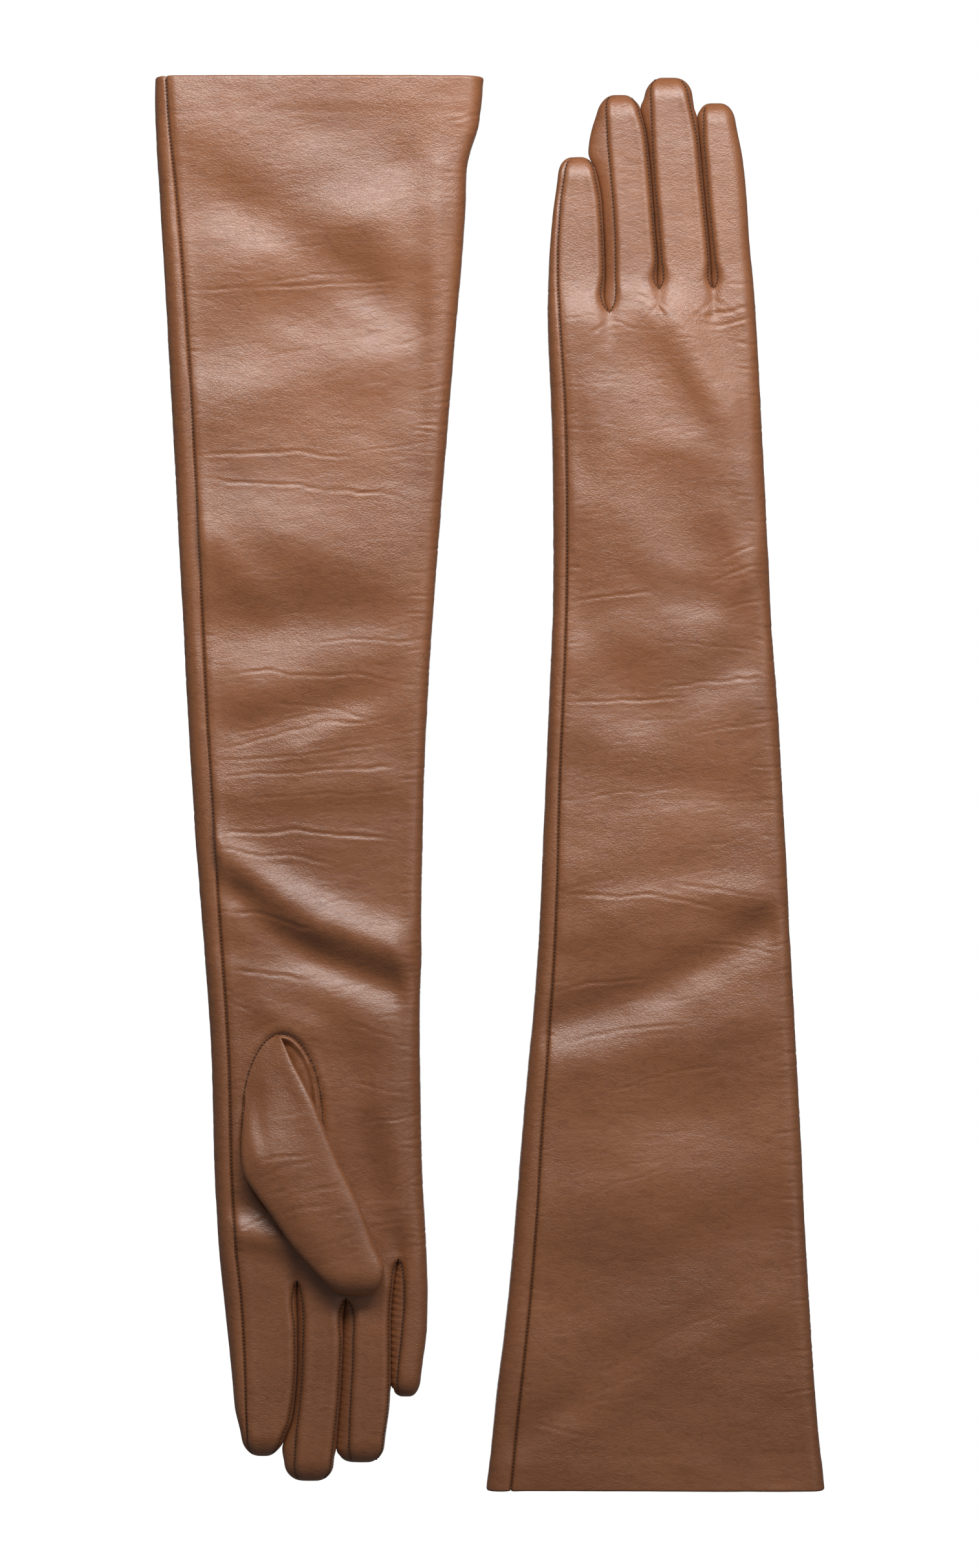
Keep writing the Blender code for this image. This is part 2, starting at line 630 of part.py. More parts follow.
def build_left_glove(bench):
    """The left-hand glove, palm down."""
    hand = bench.pivot("left_glove", (70.0, 0.0, 0.0))
    back, palm = build_sleeve(bench, "left", "back", "palm", LEFT_SLEEVE, LEFT_STATIONS, hand, LEFT_HEM,
                              lifted, LEFT_ROWS, (LEFT_KNUCKLES["pinky"], LEFT_KNUCKLES["index"] - 1))
    rise = LEFT_THUMB_HEIGHT + 2 * CLEARANCE
    step = bench.step_cutter("left", "pinky", LEFT_PINKY_STEP, LEFT_KNUCKLES["pinky"])
    hole = bench.oval_cutter("left_thumb_hole", *hole_place("left"), CUT_BELOW, rise + HOLE_CUT_DEPTH)
    for panel in (palm, back):
        bench.cut(panel, step)
    bench.cut(palm, hole)
    outer = {"index": "right", "pinky": "left"}
    for name, finger in LEFT_FINGERS.items():
        build_finger(bench, "left", "back", "palm", name, finger, LEFT_KNUCKLES[name], 0.0, outer.get(name),
                     hand)
    build_thumb(bench, "left", 0.0, LEFT_THUMB_HEIGHT, hand)
    build_gusset(bench, "left", rise, hand)
    build_oval_thread(bench, "left", hand)


def main():
    bench = Bench()
    build_right_glove(bench)
    build_left_glove(bench)


main()
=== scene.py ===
"""The looks of a pair of long leather gloves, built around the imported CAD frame.

The right-hand glove lies palm up with its fingers towards -Y, the left-hand glove palm down with its fingers
towards +Y. Every leather piece is a fine grid laid on a flattened tube and pushed in and out by folds, creases
and crumpling, then given its thickness. Stitches are small beads along the seams.

Shapes are worked out in millimetres, as numpy arrays of rows (along Y) by columns (round the tube). Outlines
are (y, x) points.
"""

import itertools
import math

import bpy
import numpy as np
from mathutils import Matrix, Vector


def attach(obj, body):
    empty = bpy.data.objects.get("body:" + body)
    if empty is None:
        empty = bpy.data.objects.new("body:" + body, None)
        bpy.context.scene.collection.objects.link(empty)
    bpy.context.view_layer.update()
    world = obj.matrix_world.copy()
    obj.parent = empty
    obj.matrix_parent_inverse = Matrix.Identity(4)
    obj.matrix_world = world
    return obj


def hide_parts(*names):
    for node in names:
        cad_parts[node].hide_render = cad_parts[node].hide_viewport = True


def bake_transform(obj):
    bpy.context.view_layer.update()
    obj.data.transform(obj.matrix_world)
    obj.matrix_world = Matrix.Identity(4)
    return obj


MM = 0.001
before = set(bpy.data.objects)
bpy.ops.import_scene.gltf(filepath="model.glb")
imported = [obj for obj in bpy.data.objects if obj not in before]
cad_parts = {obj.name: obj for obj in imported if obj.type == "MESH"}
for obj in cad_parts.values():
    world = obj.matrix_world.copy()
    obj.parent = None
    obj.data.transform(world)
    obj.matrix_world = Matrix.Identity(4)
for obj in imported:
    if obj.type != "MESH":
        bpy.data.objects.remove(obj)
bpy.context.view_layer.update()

# Leather
LEATHER = 0.8
SLEEVE_HEIGHT = 12.0
CUFF_HEIGHT = {"right": 12.0, "left": 10.4}
FINGER_HEIGHT = 11.0
SIDE_RADIUS = 5.99
CUFF_Y = 283.5
CUFF_START = 200.0  # from here on the sleeve's height changes to the cuff's
HEM_DEPTH = 13.0
HEM_PLUMP = 0.1
HEM_CREASE = 0.05
HEM_FOLD = 0.85  # the radius of the leather's turn at the cuff
UNDER_CAP = 0.35  # the furthest that the side it lies on stands out
LEAST_LEVEL = 0.05
RIM_ANGLE = 65.0
GLOVE_MIDDLE = {"right": -70.0, "left": 70.0}

# Grid pitches
UPPER_PITCH = (1.4, 0.7)
LOWER_PITCH = (2.2, 1.5)
FINGER_PITCH = 0.8
SEAM_OFFSETS = (0.0, 0.25, 0.5, 0.8, 1.15, 1.6, 2.2, 3.0, 4.0)

# Fingers
TIP_LENGTH = 10.0
TIP_LIFT = 0.35
TIP_TAPER = 0.8
TIP_ROUND = 7.0
TIP_FLAT = 0.22
TIP_SQUARE = 2.15
MEET_END = 2.0
MEET_FADE = 4.0
MEET_GAP = -0.05
JOIN_RUN = 14.0  # over this length an outer side leaves the hand's line for its own
FINGER_RUN = 25.0  # how far past the knuckles a finger takes its own height and calmer leather
FINGER_CAP = 0.8  # the furthest that folds lift a finger's leather
FINGER_CALM = 0.55
FOURCHETTE_CALM = 0.4

# Folds, creases and crumpling
CRUMPLE = (((42, 34, 30), 0.95), ((17, 12, 14), 0.34), ((6.5, 3.6, 5), 0.085), ((3.2, 1.9, 3), 0.04))
SWELL_GAIN = 1.5
UNDER_GAIN = 0.6
EDGE_SHARE = 0.12  # how much of the broad folds is left at a glove's two edges
EDGE_FADE = 10.0
CREASE_COUNT = 150
CREASE_WIDTH = 0.75
CREASE_DEPTH = 0.62

# Seams
SEAM_DEPTH = 1.0
SEAM_WIDTH = 0.6
SEAM_SWELL = 0.3
CROTCH_DROP = 1.6
CROTCH_WIDTH = 3.0
CROTCH_RUN = 18.0
RIDGE_DROP = 0.7
RIDGE_WIDTH = 1.2
RIDGE_RUN = 12.0
HOLE_SINK = 2.4
PLEAT_PITCH = 2.7
PLEAT_DEPTH = {("right", "pinky", "left"): 0.3, ("right", "ring", "left"): 0.1}
OVAL_GROOVE = (1.1, 0.8)  # depth and width of the groove round the thumb
OVAL_SWELL = (0.3, 1.8)
THREAD_LIFT = {"outer": 0.7, "under": -0.25}
FINGER_THREAD_LIFT = (0.4, -0.1)
THREAD_START = 0.8  # how far past its crotch a finger's thread starts
THREAD_END = 1.2  # and how far before the tip it ends
STITCH_PITCH = 1.45
STITCH_LENGTH = 1.05
STITCH_RADIUS = 0.27
STITCH_OUTSET = 0.5
STITCH_SLANT = 0.16
STITCH_RINGS = ((-0.5, 0.35), (-0.28, 1.0), (0.28, 1.0), (0.5, 0.35))  # shares of its length and radius
STITCH_SIDES = 5

GLOVES = {
    "right": {
        "upper": "palm", "lower": "back", "way": -1, "knuckle": -190.0,
        "left": [(-207, -107.3), (-193, -108.4), (-158, -110.5), (-111, -111.8), (-41, -116.7), (29, -121.4),
                 (99, -124.8), (169, -128.7), (240, -132.9), (263, -134.2), (283.5, -134.2)],
        "right": [(-207, -24.7), (-193, -25.0), (-158, -26.8), (-111, -27.8), (-41, -27.0), (29, -25.0),
                  (99, -20.3), (169, -14.5), (235, -9.2), (249, -8.6), (257, -6.6), (264, -4.4),
                  (271, -3.4), (283.5, -2.4)],
        "seam": [(-207, 7.4), (-196, 7.2), (-158, 7.2), (-75, 7.4), (6, 8.0), (100, 8.2), (180, 8.2),
                 (250, 6.6), (283.5, 4.4)],
        "crotches": {("index", "middle"): (-199.0, -77.2), ("middle", "ring"): (-206.3, -57.5),
                     ("ring", "pinky"): (-190.7, -36.4)},
        "order": ("index", "middle", "ring", "pinky"),
    },
    "left": {
        "upper": "back", "lower": "palm", "way": 1, "knuckle": 188.0,
        "left": [(-283.5, -1.2), (-252, 2.3), (-205, 7.8), (-135, 13.8), (-65, 19.8), (5, 22.9), (76, 25.7),
                 (146, 25.2), (181, 23.7), (198, 23.3)],
        "right": [(-283.5, 135.0), (-252, 132.0), (-205, 128.8), (-135, 125.2), (-65, 121.5), (5, 117.8),
                  (76, 113.1), (146, 109.7), (181, 107.9), (198, 106.8)],
        "seam": [(-283.5, 10.0), (-205, 9.0), (-111, 7.4), (5, 5.6), (100, 5.4), (170, 5.2), (198, 4.2)],
        "crotches": {("pinky", "ring"): (188.6, 48.4), ("ring", "middle"): (198.0, 68.4),
                     ("middle", "index"): (198.0, 90.2)},
        "order": ("pinky", "ring", "middle", "index"),
    },
}

# Each finger: where its tip is, the lines of its two upper seams, and how far its sides reach. A side with no
# fourchette has only a reach. The lines end a little before the tip.
FINGERS = {
    "right": {
        "index": {
            "tip": -270.9,
            "seam_left": [(-190, -101.4), (-202, -100.1), (-226, -98.5), (-240, -98.0), (-256, -97.8)],
            "left": [(-190, -108.7), (-217, -105.8), (-240, -103.5), (-253, -102.2), (-262, -99.9)],
            "seam_right": [(-203, -78.6), (-221, -78.2), (-241, -78.6), (-250, -79.6), (-257, -81.0), (-263, -83.4)],
            "right": [(-203, -77.5), (-221, -77.2), (-241, -77.6), (-250, -78.4), (-257, -79.6), (-263, -82.2)],
        },
        "middle": {
            "tip": -280.9,
            "seam_left": [(-203, -76.0), (-210, -74.9), (-226, -74.8), (-247, -75.9), (-262, -77.6), (-271, -78.2)],
            "left": [(-203, -77.1), (-221, -77.0), (-241, -77.4), (-250, -78.2), (-257, -79.4), (-263, -81.9),
                (-268, -83.3), (-273, -82.6)],
            "seam_right": [(-210, -59.2), (-226, -59.8), (-247, -60.9), (-262, -62.4), (-271, -63.4)],
            "right": [(-210, -58.3), (-226, -58.9), (-247, -60.0), (-262, -61.3), (-271, -62.3)],
        },
        "ring": {
            "tip": -273.4,
            "seam_left": [(-210, -55.6), (-226, -54.7), (-247, -55.6), (-262, -56.2)],
            "left": [(-210, -57.9), (-226, -58.6), (-247, -59.7), (-258, -60.6), (-264, -61.0)],
            "seam_right": [(-194, -38.0), (-203, -39.4), (-212, -40.2), (-231, -40.4), (-252, -41.0), (-262, -42.4)],
            "right": [(-194, -37.2), (-203, -38.6), (-212, -39.4), (-231, -39.5), (-252, -40.2), (-262, -41.6)],
        },
        "pinky": {
            "tip": -246.9,
            "seam_left": [(-194, -35.2), (-199, -34.4), (-208, -34.2), (-217, -34.8), (-228, -35.8), (-238, -36.8)],
            "left": [(-194, -36.8), (-203, -38.2), (-212, -39.1), (-231, -39.2), (-240, -39.0)],
            "right": [(-190, -25.0), (-207, -24.7), (-222, -25.2), (-235, -27.0)],
        },
    },
    "left": {
        "pinky": {
            "tip": 252.7,
            "seam_left": [(188, 27.8), (206, 27.3), (216, 27.3), (227, 27.8), (237, 28.4), (244, 29.6)],
            "left": [(188, 23.4), (204, 23.9), (216, 24.5), (228, 25.6), (240, 27.3)],
            "seam_right": [(192, 46.0), (206, 45.7), (226, 44.9), (237, 44.0), (244, 42.6)],
            "right": [(192, 46.9), (206, 46.6), (226, 45.9), (237, 45.1), (244, 43.7)],
        },
        "ring": {
            "tip": 277.7,
            "seam_left": [(192, 49.9), (206, 50.8), (226, 50.4), (245, 48.8), (256, 47.8), (268, 47.2)],
            "left": [(192, 47.3), (206, 46.9), (226, 46.2), (237, 45.4), (244, 44.1), (249, 42.0), (253, 40.2),
                (258, 40.3), (264, 41.5), (270, 43.4)],
            "seam_right": [(201, 66.6), (211, 66.9), (221, 66.1), (242, 64.5), (253, 63.5), (263, 62.2),
                (270, 60.2)],
            "right": [(201, 67.6), (211, 67.7), (221, 66.9), (242, 65.4), (253, 64.3), (263, 63.1), (270, 61.2)],
        },
        "middle": {
            "tip": 284.7,
            "seam_left": [(201, 69.8), (211, 69.5), (221, 68.7), (242, 66.8), (253, 66.0), (264, 65.5), (273, 65.1)],
            "left": [(201, 68.3), (211, 68.0), (221, 67.2), (242, 65.7), (253, 64.6), (261, 63.5), (267, 62.3),
                (272, 61.4), (277, 62.6)],
            "seam_right": [(201, 88.6), (211, 87.9), (221, 87.1), (232, 86.1), (242, 85.0), (253, 84.1), (260, 83.5),
                (267, 82.2), (273, 80.8)],
            "right": [(201, 89.6), (211, 89.0), (221, 88.2), (232, 87.1), (242, 86.1), (253, 85.2), (260, 84.5),
                (267, 83.6), (273, 82.6)],
        },
        "index": {
            "tip": 274.4,
            "seam_left": [(201, 91.6), (211, 91.0), (219, 90.2), (229, 89.0), (240, 88.0), (250, 87.2), (260, 86.3),
                (267, 86.2)],
            "left": [(201, 90.0), (211, 89.3), (219, 88.7), (229, 87.7), (240, 86.7), (250, 85.8), (260, 84.9),
                (266, 84.5)],
            "right": [(188, 107.3), (198, 106.8), (216, 105.1), (228, 104.3), (240, 103.5), (255, 101.7),
                (263, 100.1)],
        },
    },
}

# The right-hand glove's thumb; the left-hand glove's is its mirror image, under the hand
THUMB_LEFT = [(-205.6, -54.5), (-204.6, -58.5), (-202.5, -62.2), (-198, -67.0), (-187, -77.0), (-172, -87.6),
              (-164, -93.4), (-157, -97.6), (-151, -98.9), (-145, -99.2), (-135, -98.5), (-116, -96.4),
              (-108, -93.6), (-103, -89.6), (-100.5, -85.6)]
THUMB_RIGHT = [(-205.6, -50.5), (-204.6, -47.4), (-202.5, -45.0), (-198, -42.8), (-193, -42.3), (-188, -44.4),
               (-183, -46.4), (-170, -51.2), (-154, -58.9), (-136, -66.7), (-124, -72.0), (-110, -79.7),
               (-104, -82.4), (-100.5, -84.2)]
HOLE_CENTRE = (-83.0, -136.0)
HOLE_RADII = (15.8, 35.5)
THUMB_TOP_Y = -100.5
THUMB_TIP_Y = -205.6
THUMB_STRAIGHT = 95.0
THUMB_DOME = 10.1
THUMB_TIP_ROUND = 11.0
THUMB_TOP_HEIGHT = 1.2
THUMB_SINK = 2.6
THUMB_POWER = 2 / 3.4  # how square its section is
THUMB_HEIGHT = {"right": 9.5, "left": 5.0}
THUMB_BEND = (-128.0, -168.0)
MIRROR_SHRINK = 0.92
MIRROR_TIP_Y = 187.0
MIRROR_X = -1.5
GUSSET_ARC = (-24.0, 94.0)
GUSSET_WIDTH = 9.5
GUSSET_PUFF = 2.1
GUSSET_PLEAT = 0.1
THUMB_SEAM_ARC = (-30.0, 262.0)

# How the left-hand glove rises over its own thumb
RISE_START = (85.0, 106.0)
RISE_END = (55.0, 177.0)
RISE_RADIUS = 20.0
RISE_FADE = 18.0
RISE_HEIGHT = 5.6
RISE_TOP_SHARE = 0.3
RISE_END_Y = (183.0, 206.0)

# Listed folds, as (x, y) of one end, (x, y) of the other, width, height and, if any, bow to one side.
# A negative height is a valley.
SWELLS = {
    "right": [
        ((-118, 262), (-34, 214), 15, 1.1, 3), ((-104, 234), (-40, 192), 10, -0.9, 2),
        ((-128, 285), (-10, 285), 24, 1.1), ((-112, 98), (-42, 102), 22, 1.5), ((-96, 212), (-30, 232), 12, 0.9),
        ((-110, 176), (-50, 196), 13, -0.8), ((-34, 246), (-27, 60), 7, -0.8, 3), ((-20, 246), (-22, 60), 6, 0.7),
        ((-106, 152), (-45, 168), 14, 0.9, 4), ((-112, 62), (-80, 68), 10, -0.7), ((-108, 95), (-92, 76), 9, 1.0),
        ((-84, 100), (-40, 80), 13, 0.8), ((-100, 60), (-44, 66), 12, -0.7, 2), ((-92, 40), (-40, 56), 11, 0.9),
        ((-96, 22), (-42, 32), 8, -1.0, 3), ((-74, 14), (-40, 30), 7, 0.9, 2), ((-104, -4), (-46, 2), 10, 0.7),
        ((-112, -24), (-28, -70), 8.5, 2.6, -5), ((-100, -46), (-40, -82), 7.5, -1.9, -4),
        ((-112, -46), (-70, -60), 6, 0.9), ((-106, -66), (-68, -74), 7, -0.8), ((-60, -84), (-34, -118), 12, 0.9, 3),
        ((-44, -128), (-36, -168), 8, 1.1, 2), ((-52, -120), (-46, -160), 8, -0.8),
        ((-100, -180), (-80, -184), 6, 1.3), ((-106, -172), (-92, -168), 6, -0.8), ((-88, -92), (-74, -98), 6, 0.9),
    ],
    "left": [
        ((76, 182), (92, 152), 10, 1.3), ((66, 168), (80, 148), 9, -1.0), ((40, 182), (44, 120), 9, 0.8),
        ((66, 138), (100, 122), 12, 0.8, 2), ((74, 118), (84, 84), 13, -1.5), ((92, 106), (108, 84), 9, 0.9),
        ((100, 78), (112, 90), 7, 1.0), ((36, 112), (60, 92), 12, 0.6), ((30, 76), (62, 30), 13, -1.1),
        ((36, 52), (88, 62), 11, 0.7), ((90, 44), (112, 60), 9, -0.7), ((60, 18), (112, 30), 12, 0.7),
        ((30, 4), (112, -8), 11, -0.7), ((34, -34), (74, -24), 12, 0.7), ((50, -50), (106, -46), 8, 1.3, 2),
        ((34, -60), (74, -58), 8, 0.6), ((112, -58), (26, -96), 9, -1.8, 4), ((26, -116), (110, -92), 10, 0.8),
        ((40, -140), (112, -128), 13, -0.6), ((18, -170), (90, -158), 15, 0.6), ((34, -208), (112, -176), 13, -0.7),
        ((30, -262), (116, -208), 9, 0.45, 3), ((42, -240), (112, -198), 10, -0.4),
        ((12, -262), (30, -252), 8, -0.8),
    ],
}
CREASES = {
    "right": [
        ((-128, 197), (-30, 201), 0.7, 0.32, 1.5), ((-112, 199), (-60, 206), 0.6, 0.22),
        ((-122, 133), (-50, 131), 0.7, 0.36, 1.2), ((-60, 132), (-20, 138), 0.6, 0.24),
        ((-120, 124), (-36, 117), 0.7, 0.40, -1.6), ((-70, 120), (-26, 112), 0.6, 0.3, 1),
        ((-72, 58), (-26, 56), 0.6, 0.28, 1), ((-108, 44), (-30, 41), 0.7, 0.36, 2),
        ((-90, 33), (-44, 26), 0.7, 0.3, 1), ((-112, 14), (-40, 27), 0.7, 0.40, 1.5),
        ((-114, 10), (-36, 17), 0.7, 0.36, -1), ((-108, 20), (-62, 28), 0.6, 0.3, 1),
        ((-113, 2), (-34, 7), 0.7, 0.36, 1), ((-100, -6), (-30, -2), 0.6, 0.28),
        ((-113, -19), (-34, -23.5), 0.8, 0.55, 1.5), ((-112, -26), (-60, -33), 0.7, 0.4, 1),
        ((-106, -51), (-66, -60), 0.8, 0.42, 1), ((-104, -74), (-72, -79), 0.8, 0.36, 1),
        ((-106, -86), (-92, -92), 0.7, 0.26), ((-56, -96), (-34, -104), 0.7, 0.3),
        ((-56, -120), (-30, -124), 0.6, 0.28), ((-52, -136), (-28, -132), 0.6, 0.3),
        ((-100, -168), (-88, -176), 0.7, 0.36, 1), ((-103, -180), (-84, -172), 0.7, 0.3, 1),
        ((-74, -186), (-60, -199), 0.8, 0.4, 1), ((-48, -178), (-30, -176), 0.7, 0.3),
    ],
    "left": [
        ((58, 197), (72, 187), 0.8, 0.45, 1), ((68.4, 194), (60, 184), 0.7, 0.4), ((68.4, 194), (79, 184), 0.7, 0.4),
        ((90, 194), (82, 186), 0.7, 0.4), ((90, 195), (99, 188), 0.7, 0.4), ((74, 190), (106, 194), 0.8, 0.5, -3),
        ((84, 186), (106, 189), 0.8, 0.45, -2), ((48.4, 186), (40, 180), 0.7, 0.36),
        ((48.4, 186), (58, 182), 0.7, 0.36), ((90, 88), (111, 96), 0.7, 0.36, 1), ((86, 80), (112, 88), 0.7, 0.4, 1),
        ((94, 70), (112, 74), 0.7, 0.36), ((30, 73), (68, 76), 0.7, 0.4, 1), ((62, 57), (112, 52), 0.6, 0.28, 1),
        ((30, 33), (78, 36), 0.7, 0.42, -1), ((66, 39), (114, 43), 0.6, 0.3, 1), ((80, 20), (115, 24), 0.6, 0.3),
        ((34, -6), (80, -2), 0.6, 0.26, 1), ((26, -44), (96, -50), 0.7, 0.42, 2), ((70, -40), (116, -46), 0.7, 0.3),
        ((24, -84), (66, -79), 0.7, 0.36, 1), ((30, -104), (82, -96), 0.7, 0.32, 1),
        ((84, -64), (118, -68), 0.7, 0.34), ((46, -124), (98, -112), 0.6, 0.26, 1),
        ((34, -168), (80, -150), 0.6, 0.24, 1), ((40, -240), (112, -204), 0.7, 0.2, 2),
        ((36, -250), (92, -222), 0.7, 0.18, 1), ((50, -254), (118, -218), 0.7, 0.14, 1),
        ((16, -256), (40, -262), 0.7, 0.36),
    ],
}
THUMB_FOLDS = [
    ((-94, -112), (-86, -150), 5, 0.9, 1), ((-90, -104), (-78, -128), 4, -0.4),
    ((-97, -124), (-92, -150), 3.2, 0.9, -1), ((-84, -128), (-74, -176), 7, 0.5), ((-80, -160), (-60, -196), 6, 0.5),
]
THUMB_CREASES = [
    ((-94, -152), (-70, -148), 0.6, 0.3, 1), ((-92, -158), (-68, -150), 0.6, 0.32, 1),
    ((-89, -164), (-70, -157), 0.6, 0.3, -1), ((-80, -166), (-58, -160), 0.6, 0.3, 1),
    ((-84, -172), (-62, -168), 0.6, 0.26, 1), ((-74, -178), (-54, -170), 0.6, 0.3, 1),
    ((-72, -186), (-52, -180), 0.6, 0.24), ((-66, -193), (-50, -186), 0.6, 0.22, 1),
    ((-86, -121), (-76, -126), 0.5, 0.16), ((-84, -134), (-72, -130), 0.5, 0.18),
]

# Each light: its place, size, power and what it is aimed at, in metres and watts
LIGHTS = {
    "key": ((0.04, 0.66, 0.66), (0.9, 0.3), 10.9, (0, 0.08, 0)),
    "side": ((0.8, 0.2, 0.9), (0.8, 0.8), 2.0, (0, 0, 0)),
    "under": ((0, 0, -1.2), (1.0, 1.0), 6.5, (0, 0, 0)),
}
WORLD_LIGHT = 0.13
CAMERA_HEIGHT = 1.76
WHITE = (1, 1, 1, 1)


def curve(points):
    """A smooth function of y through (y, value) points."""
    ys, values = (np.array(c, float) for c in zip(*sorted(points)))
    slopes = np.gradient(values, ys)

    def value(y):
        y = np.clip(y, ys[0], ys[-1])
        i = np.clip(np.searchsorted(ys, y) - 1, 0, len(ys) - 2)
        step = ys[i + 1] - ys[i]
        t = (y - ys[i]) / step
        return (
            (1 + 2 * t) * (1 - t) ** 2 * values[i] + t * (1 - t) ** 2 * step * slopes[i]
            + t * t * (3 - 2 * t) * values[i + 1] + t * t * (t - 1) * step * slopes[i + 1]
        )

    return value


def smooth(t):
    """0 up to t = 0, 1 from t = 1 on, and a soft step between."""
    t = np.clip(t, 0.0, 1.0)
    return t * t * (3 - 2 * t)


def bell(distance, width):
    """1 at no distance, falling off to both sides."""
    return np.exp(-((distance / width) ** 2))


def noise(points, size, seed):
    """Smooth random values from -1 to 1 at points, with about one bump to each size (mm, or mm per axis)."""
    q = points / np.array(size, float)
    cell = np.floor(q).astype(np.int64)
    w = q - cell
    w = w * w * (3 - 2 * w)
    total = np.zeros(points.shape[:-1])
    for corner in itertools.product((0, 1), repeat=3):
        c = cell + np.array(corner)
        mixed = (c[..., 0] * 73856093) ^ (c[..., 1] * 19349663) ^ (c[..., 2] * 83492791) ^ (seed * 2654435761)
        mixed = ((mixed & 0xFFFFFFFF) ^ ((mixed & 0xFFFFFFFF) >> 13)) * 1274126177 & 0xFFFFFFFF
        value = ((mixed ^ (mixed >> 16)) & 0xFFFF) / 32767.5 - 1
        total += value * np.prod(np.where(corner, w, 1 - w), axis=-1)
    return total


def line_places(x, y, start, end, bow=0):
    """How far along a bowed line each place is, as a share, and how far off it."""
    a, b = np.array(start, float), np.array(end, float)
    run = b - a
    length = math.hypot(*run)
    along = ((x - a[0]) * run[0] + (y - a[1]) * run[1]) / length ** 2
    off = ((y - a[1]) * run[0] - (x - a[0]) * run[1]) / length
    inside = np.clip(along, 0, 1)
    return along, off - bow * 4 * inside * (1 - inside), length


def swell(x, y, start, end, width, height, bow=0):
    """A soft ridge or valley that fades out past its ends."""
    along, off, length = line_places(x, y, start, end, bow)
    past = np.maximum(np.maximum(-along, along - 1), 0) * length
    return height * bell(off, width) * bell(past, width * 1.3)


def crease(x, y, start, end, width, depth, bow=0):
    """A narrow crease with a lip on each side, which fades towards its ends."""
    along, off, _ = line_places(x, y, start, end, bow)
    strength = smooth(along * 5) * smooth((1 - along) * 5)
    lips = bell(off - 2.4 * width, 1.5 * width) + bell(off + 2.4 * width, 1.5 * width)
    return depth * strength * (0.4 * lips - bell(off, width))


def random_creases(side, upper):
    """Small creases that run mostly across the glove, closer together along its two edges."""
    rng = np.random.default_rng({"right": 11, "left": 23}[side] + (0 if upper else 100))
    glove = GLOVES[side]
    left, right = curve(glove["left"]), curve(glove["right"])
    ends = sorted((glove["way"] * 196, -glove["way"] * 266))
    found = []
    for _ in range(CREASE_COUNT):
        y = rng.uniform(*ends)
        low, high = left(y) + 8, right(y) - 8
        x, long, tilt = rng.uniform(low, high), rng.uniform(9, 26), rng.normal(0.1, 0.16)
        found.append(((x - long / 2, y - tilt * long / 2), (x + long / 2, y + tilt * long / 2),
                      rng.uniform(0.5, 0.7), rng.uniform(0.06, 0.16), rng.uniform(-1.2, 1.2)))
    for edge, inward in ((left, 1), (right, -1)):
        y = ends[0]
        while y < ends[1]:
            y += rng.uniform(3.5, 11)
            reach = rng.uniform(6, 15)
            x = edge(y) - inward * 1.0
            tilt = rng.normal(0, 0.12)
            found.append(((x, y), (x + inward * reach, y + tilt * reach), rng.uniform(0.45, 0.7),
                          rng.uniform(0.14, 0.38), rng.uniform(-0.6, 0.6)))
    return found


def relief(side, points, calm=1.0):
    """How far each point of a glove's leather stands out from the plain tube."""
    x, y, z = points[..., 0], points[..., 1], points[..., 2]
    seed = {"right": 1, "left": 51}[side]
    glove = GLOVES[side]
    from_edge = np.minimum(x - curve(glove["left"])(y), curve(glove["right"])(y) - x)
    inner = EDGE_SHARE + (1 - EDGE_SHARE) * smooth((from_edge - 1) / EDGE_FADE)
    crumple = [height * noise(points, size, seed + k) for k, (size, height) in enumerate(CRUMPLE)]
    total = inner * (crumple[0] + crumple[1]) + (crumple[2] + crumple[3])
    wander = 1.3 * noise(points, 13, seed + 4) + 0.45 * noise(points, 4, seed + 5)
    drift = 1.3 * noise(points, 12, seed + 6)
    high = smooth((z - 2.5) / 5)
    for weight, upper in ((high, True), (1 - high, False)):
        if not weight.any():
            continue
        part = np.zeros_like(total)
        across = x if upper else 2 * GLOVE_MIDDLE[side] - x
        for fold in SWELLS[side]:
            part += inner * swell(across, y, *fold) * (SWELL_GAIN if upper else UNDER_GAIN)
        for start, end, width, depth, *bow in (CREASES[side] if upper else []) + random_creases(side, upper):
            part += crease(x + drift, y + wander, start, end, width * CREASE_WIDTH, depth * CREASE_DEPTH, *bow)
        total += weight * part
    return total * calm


def thumb_rise(x, y):
    """How far the left-hand glove is lifted by the thumb under it."""
    a, b = np.array(RISE_START), np.array(RISE_END)
    run = b - a
    share = np.clip(((x - a[0]) * run[0] + (y - a[1]) * run[1]) / (run @ run), 0, 1)
    apart = np.hypot(x - a[0] - share * run[0], y - a[1] - share * run[1])
    end = smooth((RISE_END_Y[1] - y) / (RISE_END_Y[1] - RISE_END_Y[0]))
    return RISE_HEIGHT * end * smooth((RISE_RADIUS + RISE_FADE - apart) / RISE_FADE)


def lift(side, points):
    """Moves the left-hand glove's leather up over its thumb."""
    if side == "left":
        share = 1 + (RISE_TOP_SHARE - 1) * np.clip(points[..., 2] / SLEEVE_HEIGHT, 0, 1)
        points[..., 2] += thumb_rise(points[..., 0], points[..., 1]) * share
    return points


def crotch_drop(side, points):
    """The valleys that run from the crotches between the fingers back into the hand."""
    way, total = GLOVES[side]["way"], 0.0
    for crotch_y, crotch_x in GLOVES[side]["crotches"].values():
        fade = smooth((way * (points[..., 1] - crotch_y) + CROTCH_RUN) / CROTCH_RUN)
        total = total + CROTCH_DROP * fade * bell(points[..., 0] - crotch_x, CROTCH_WIDTH)
    return total


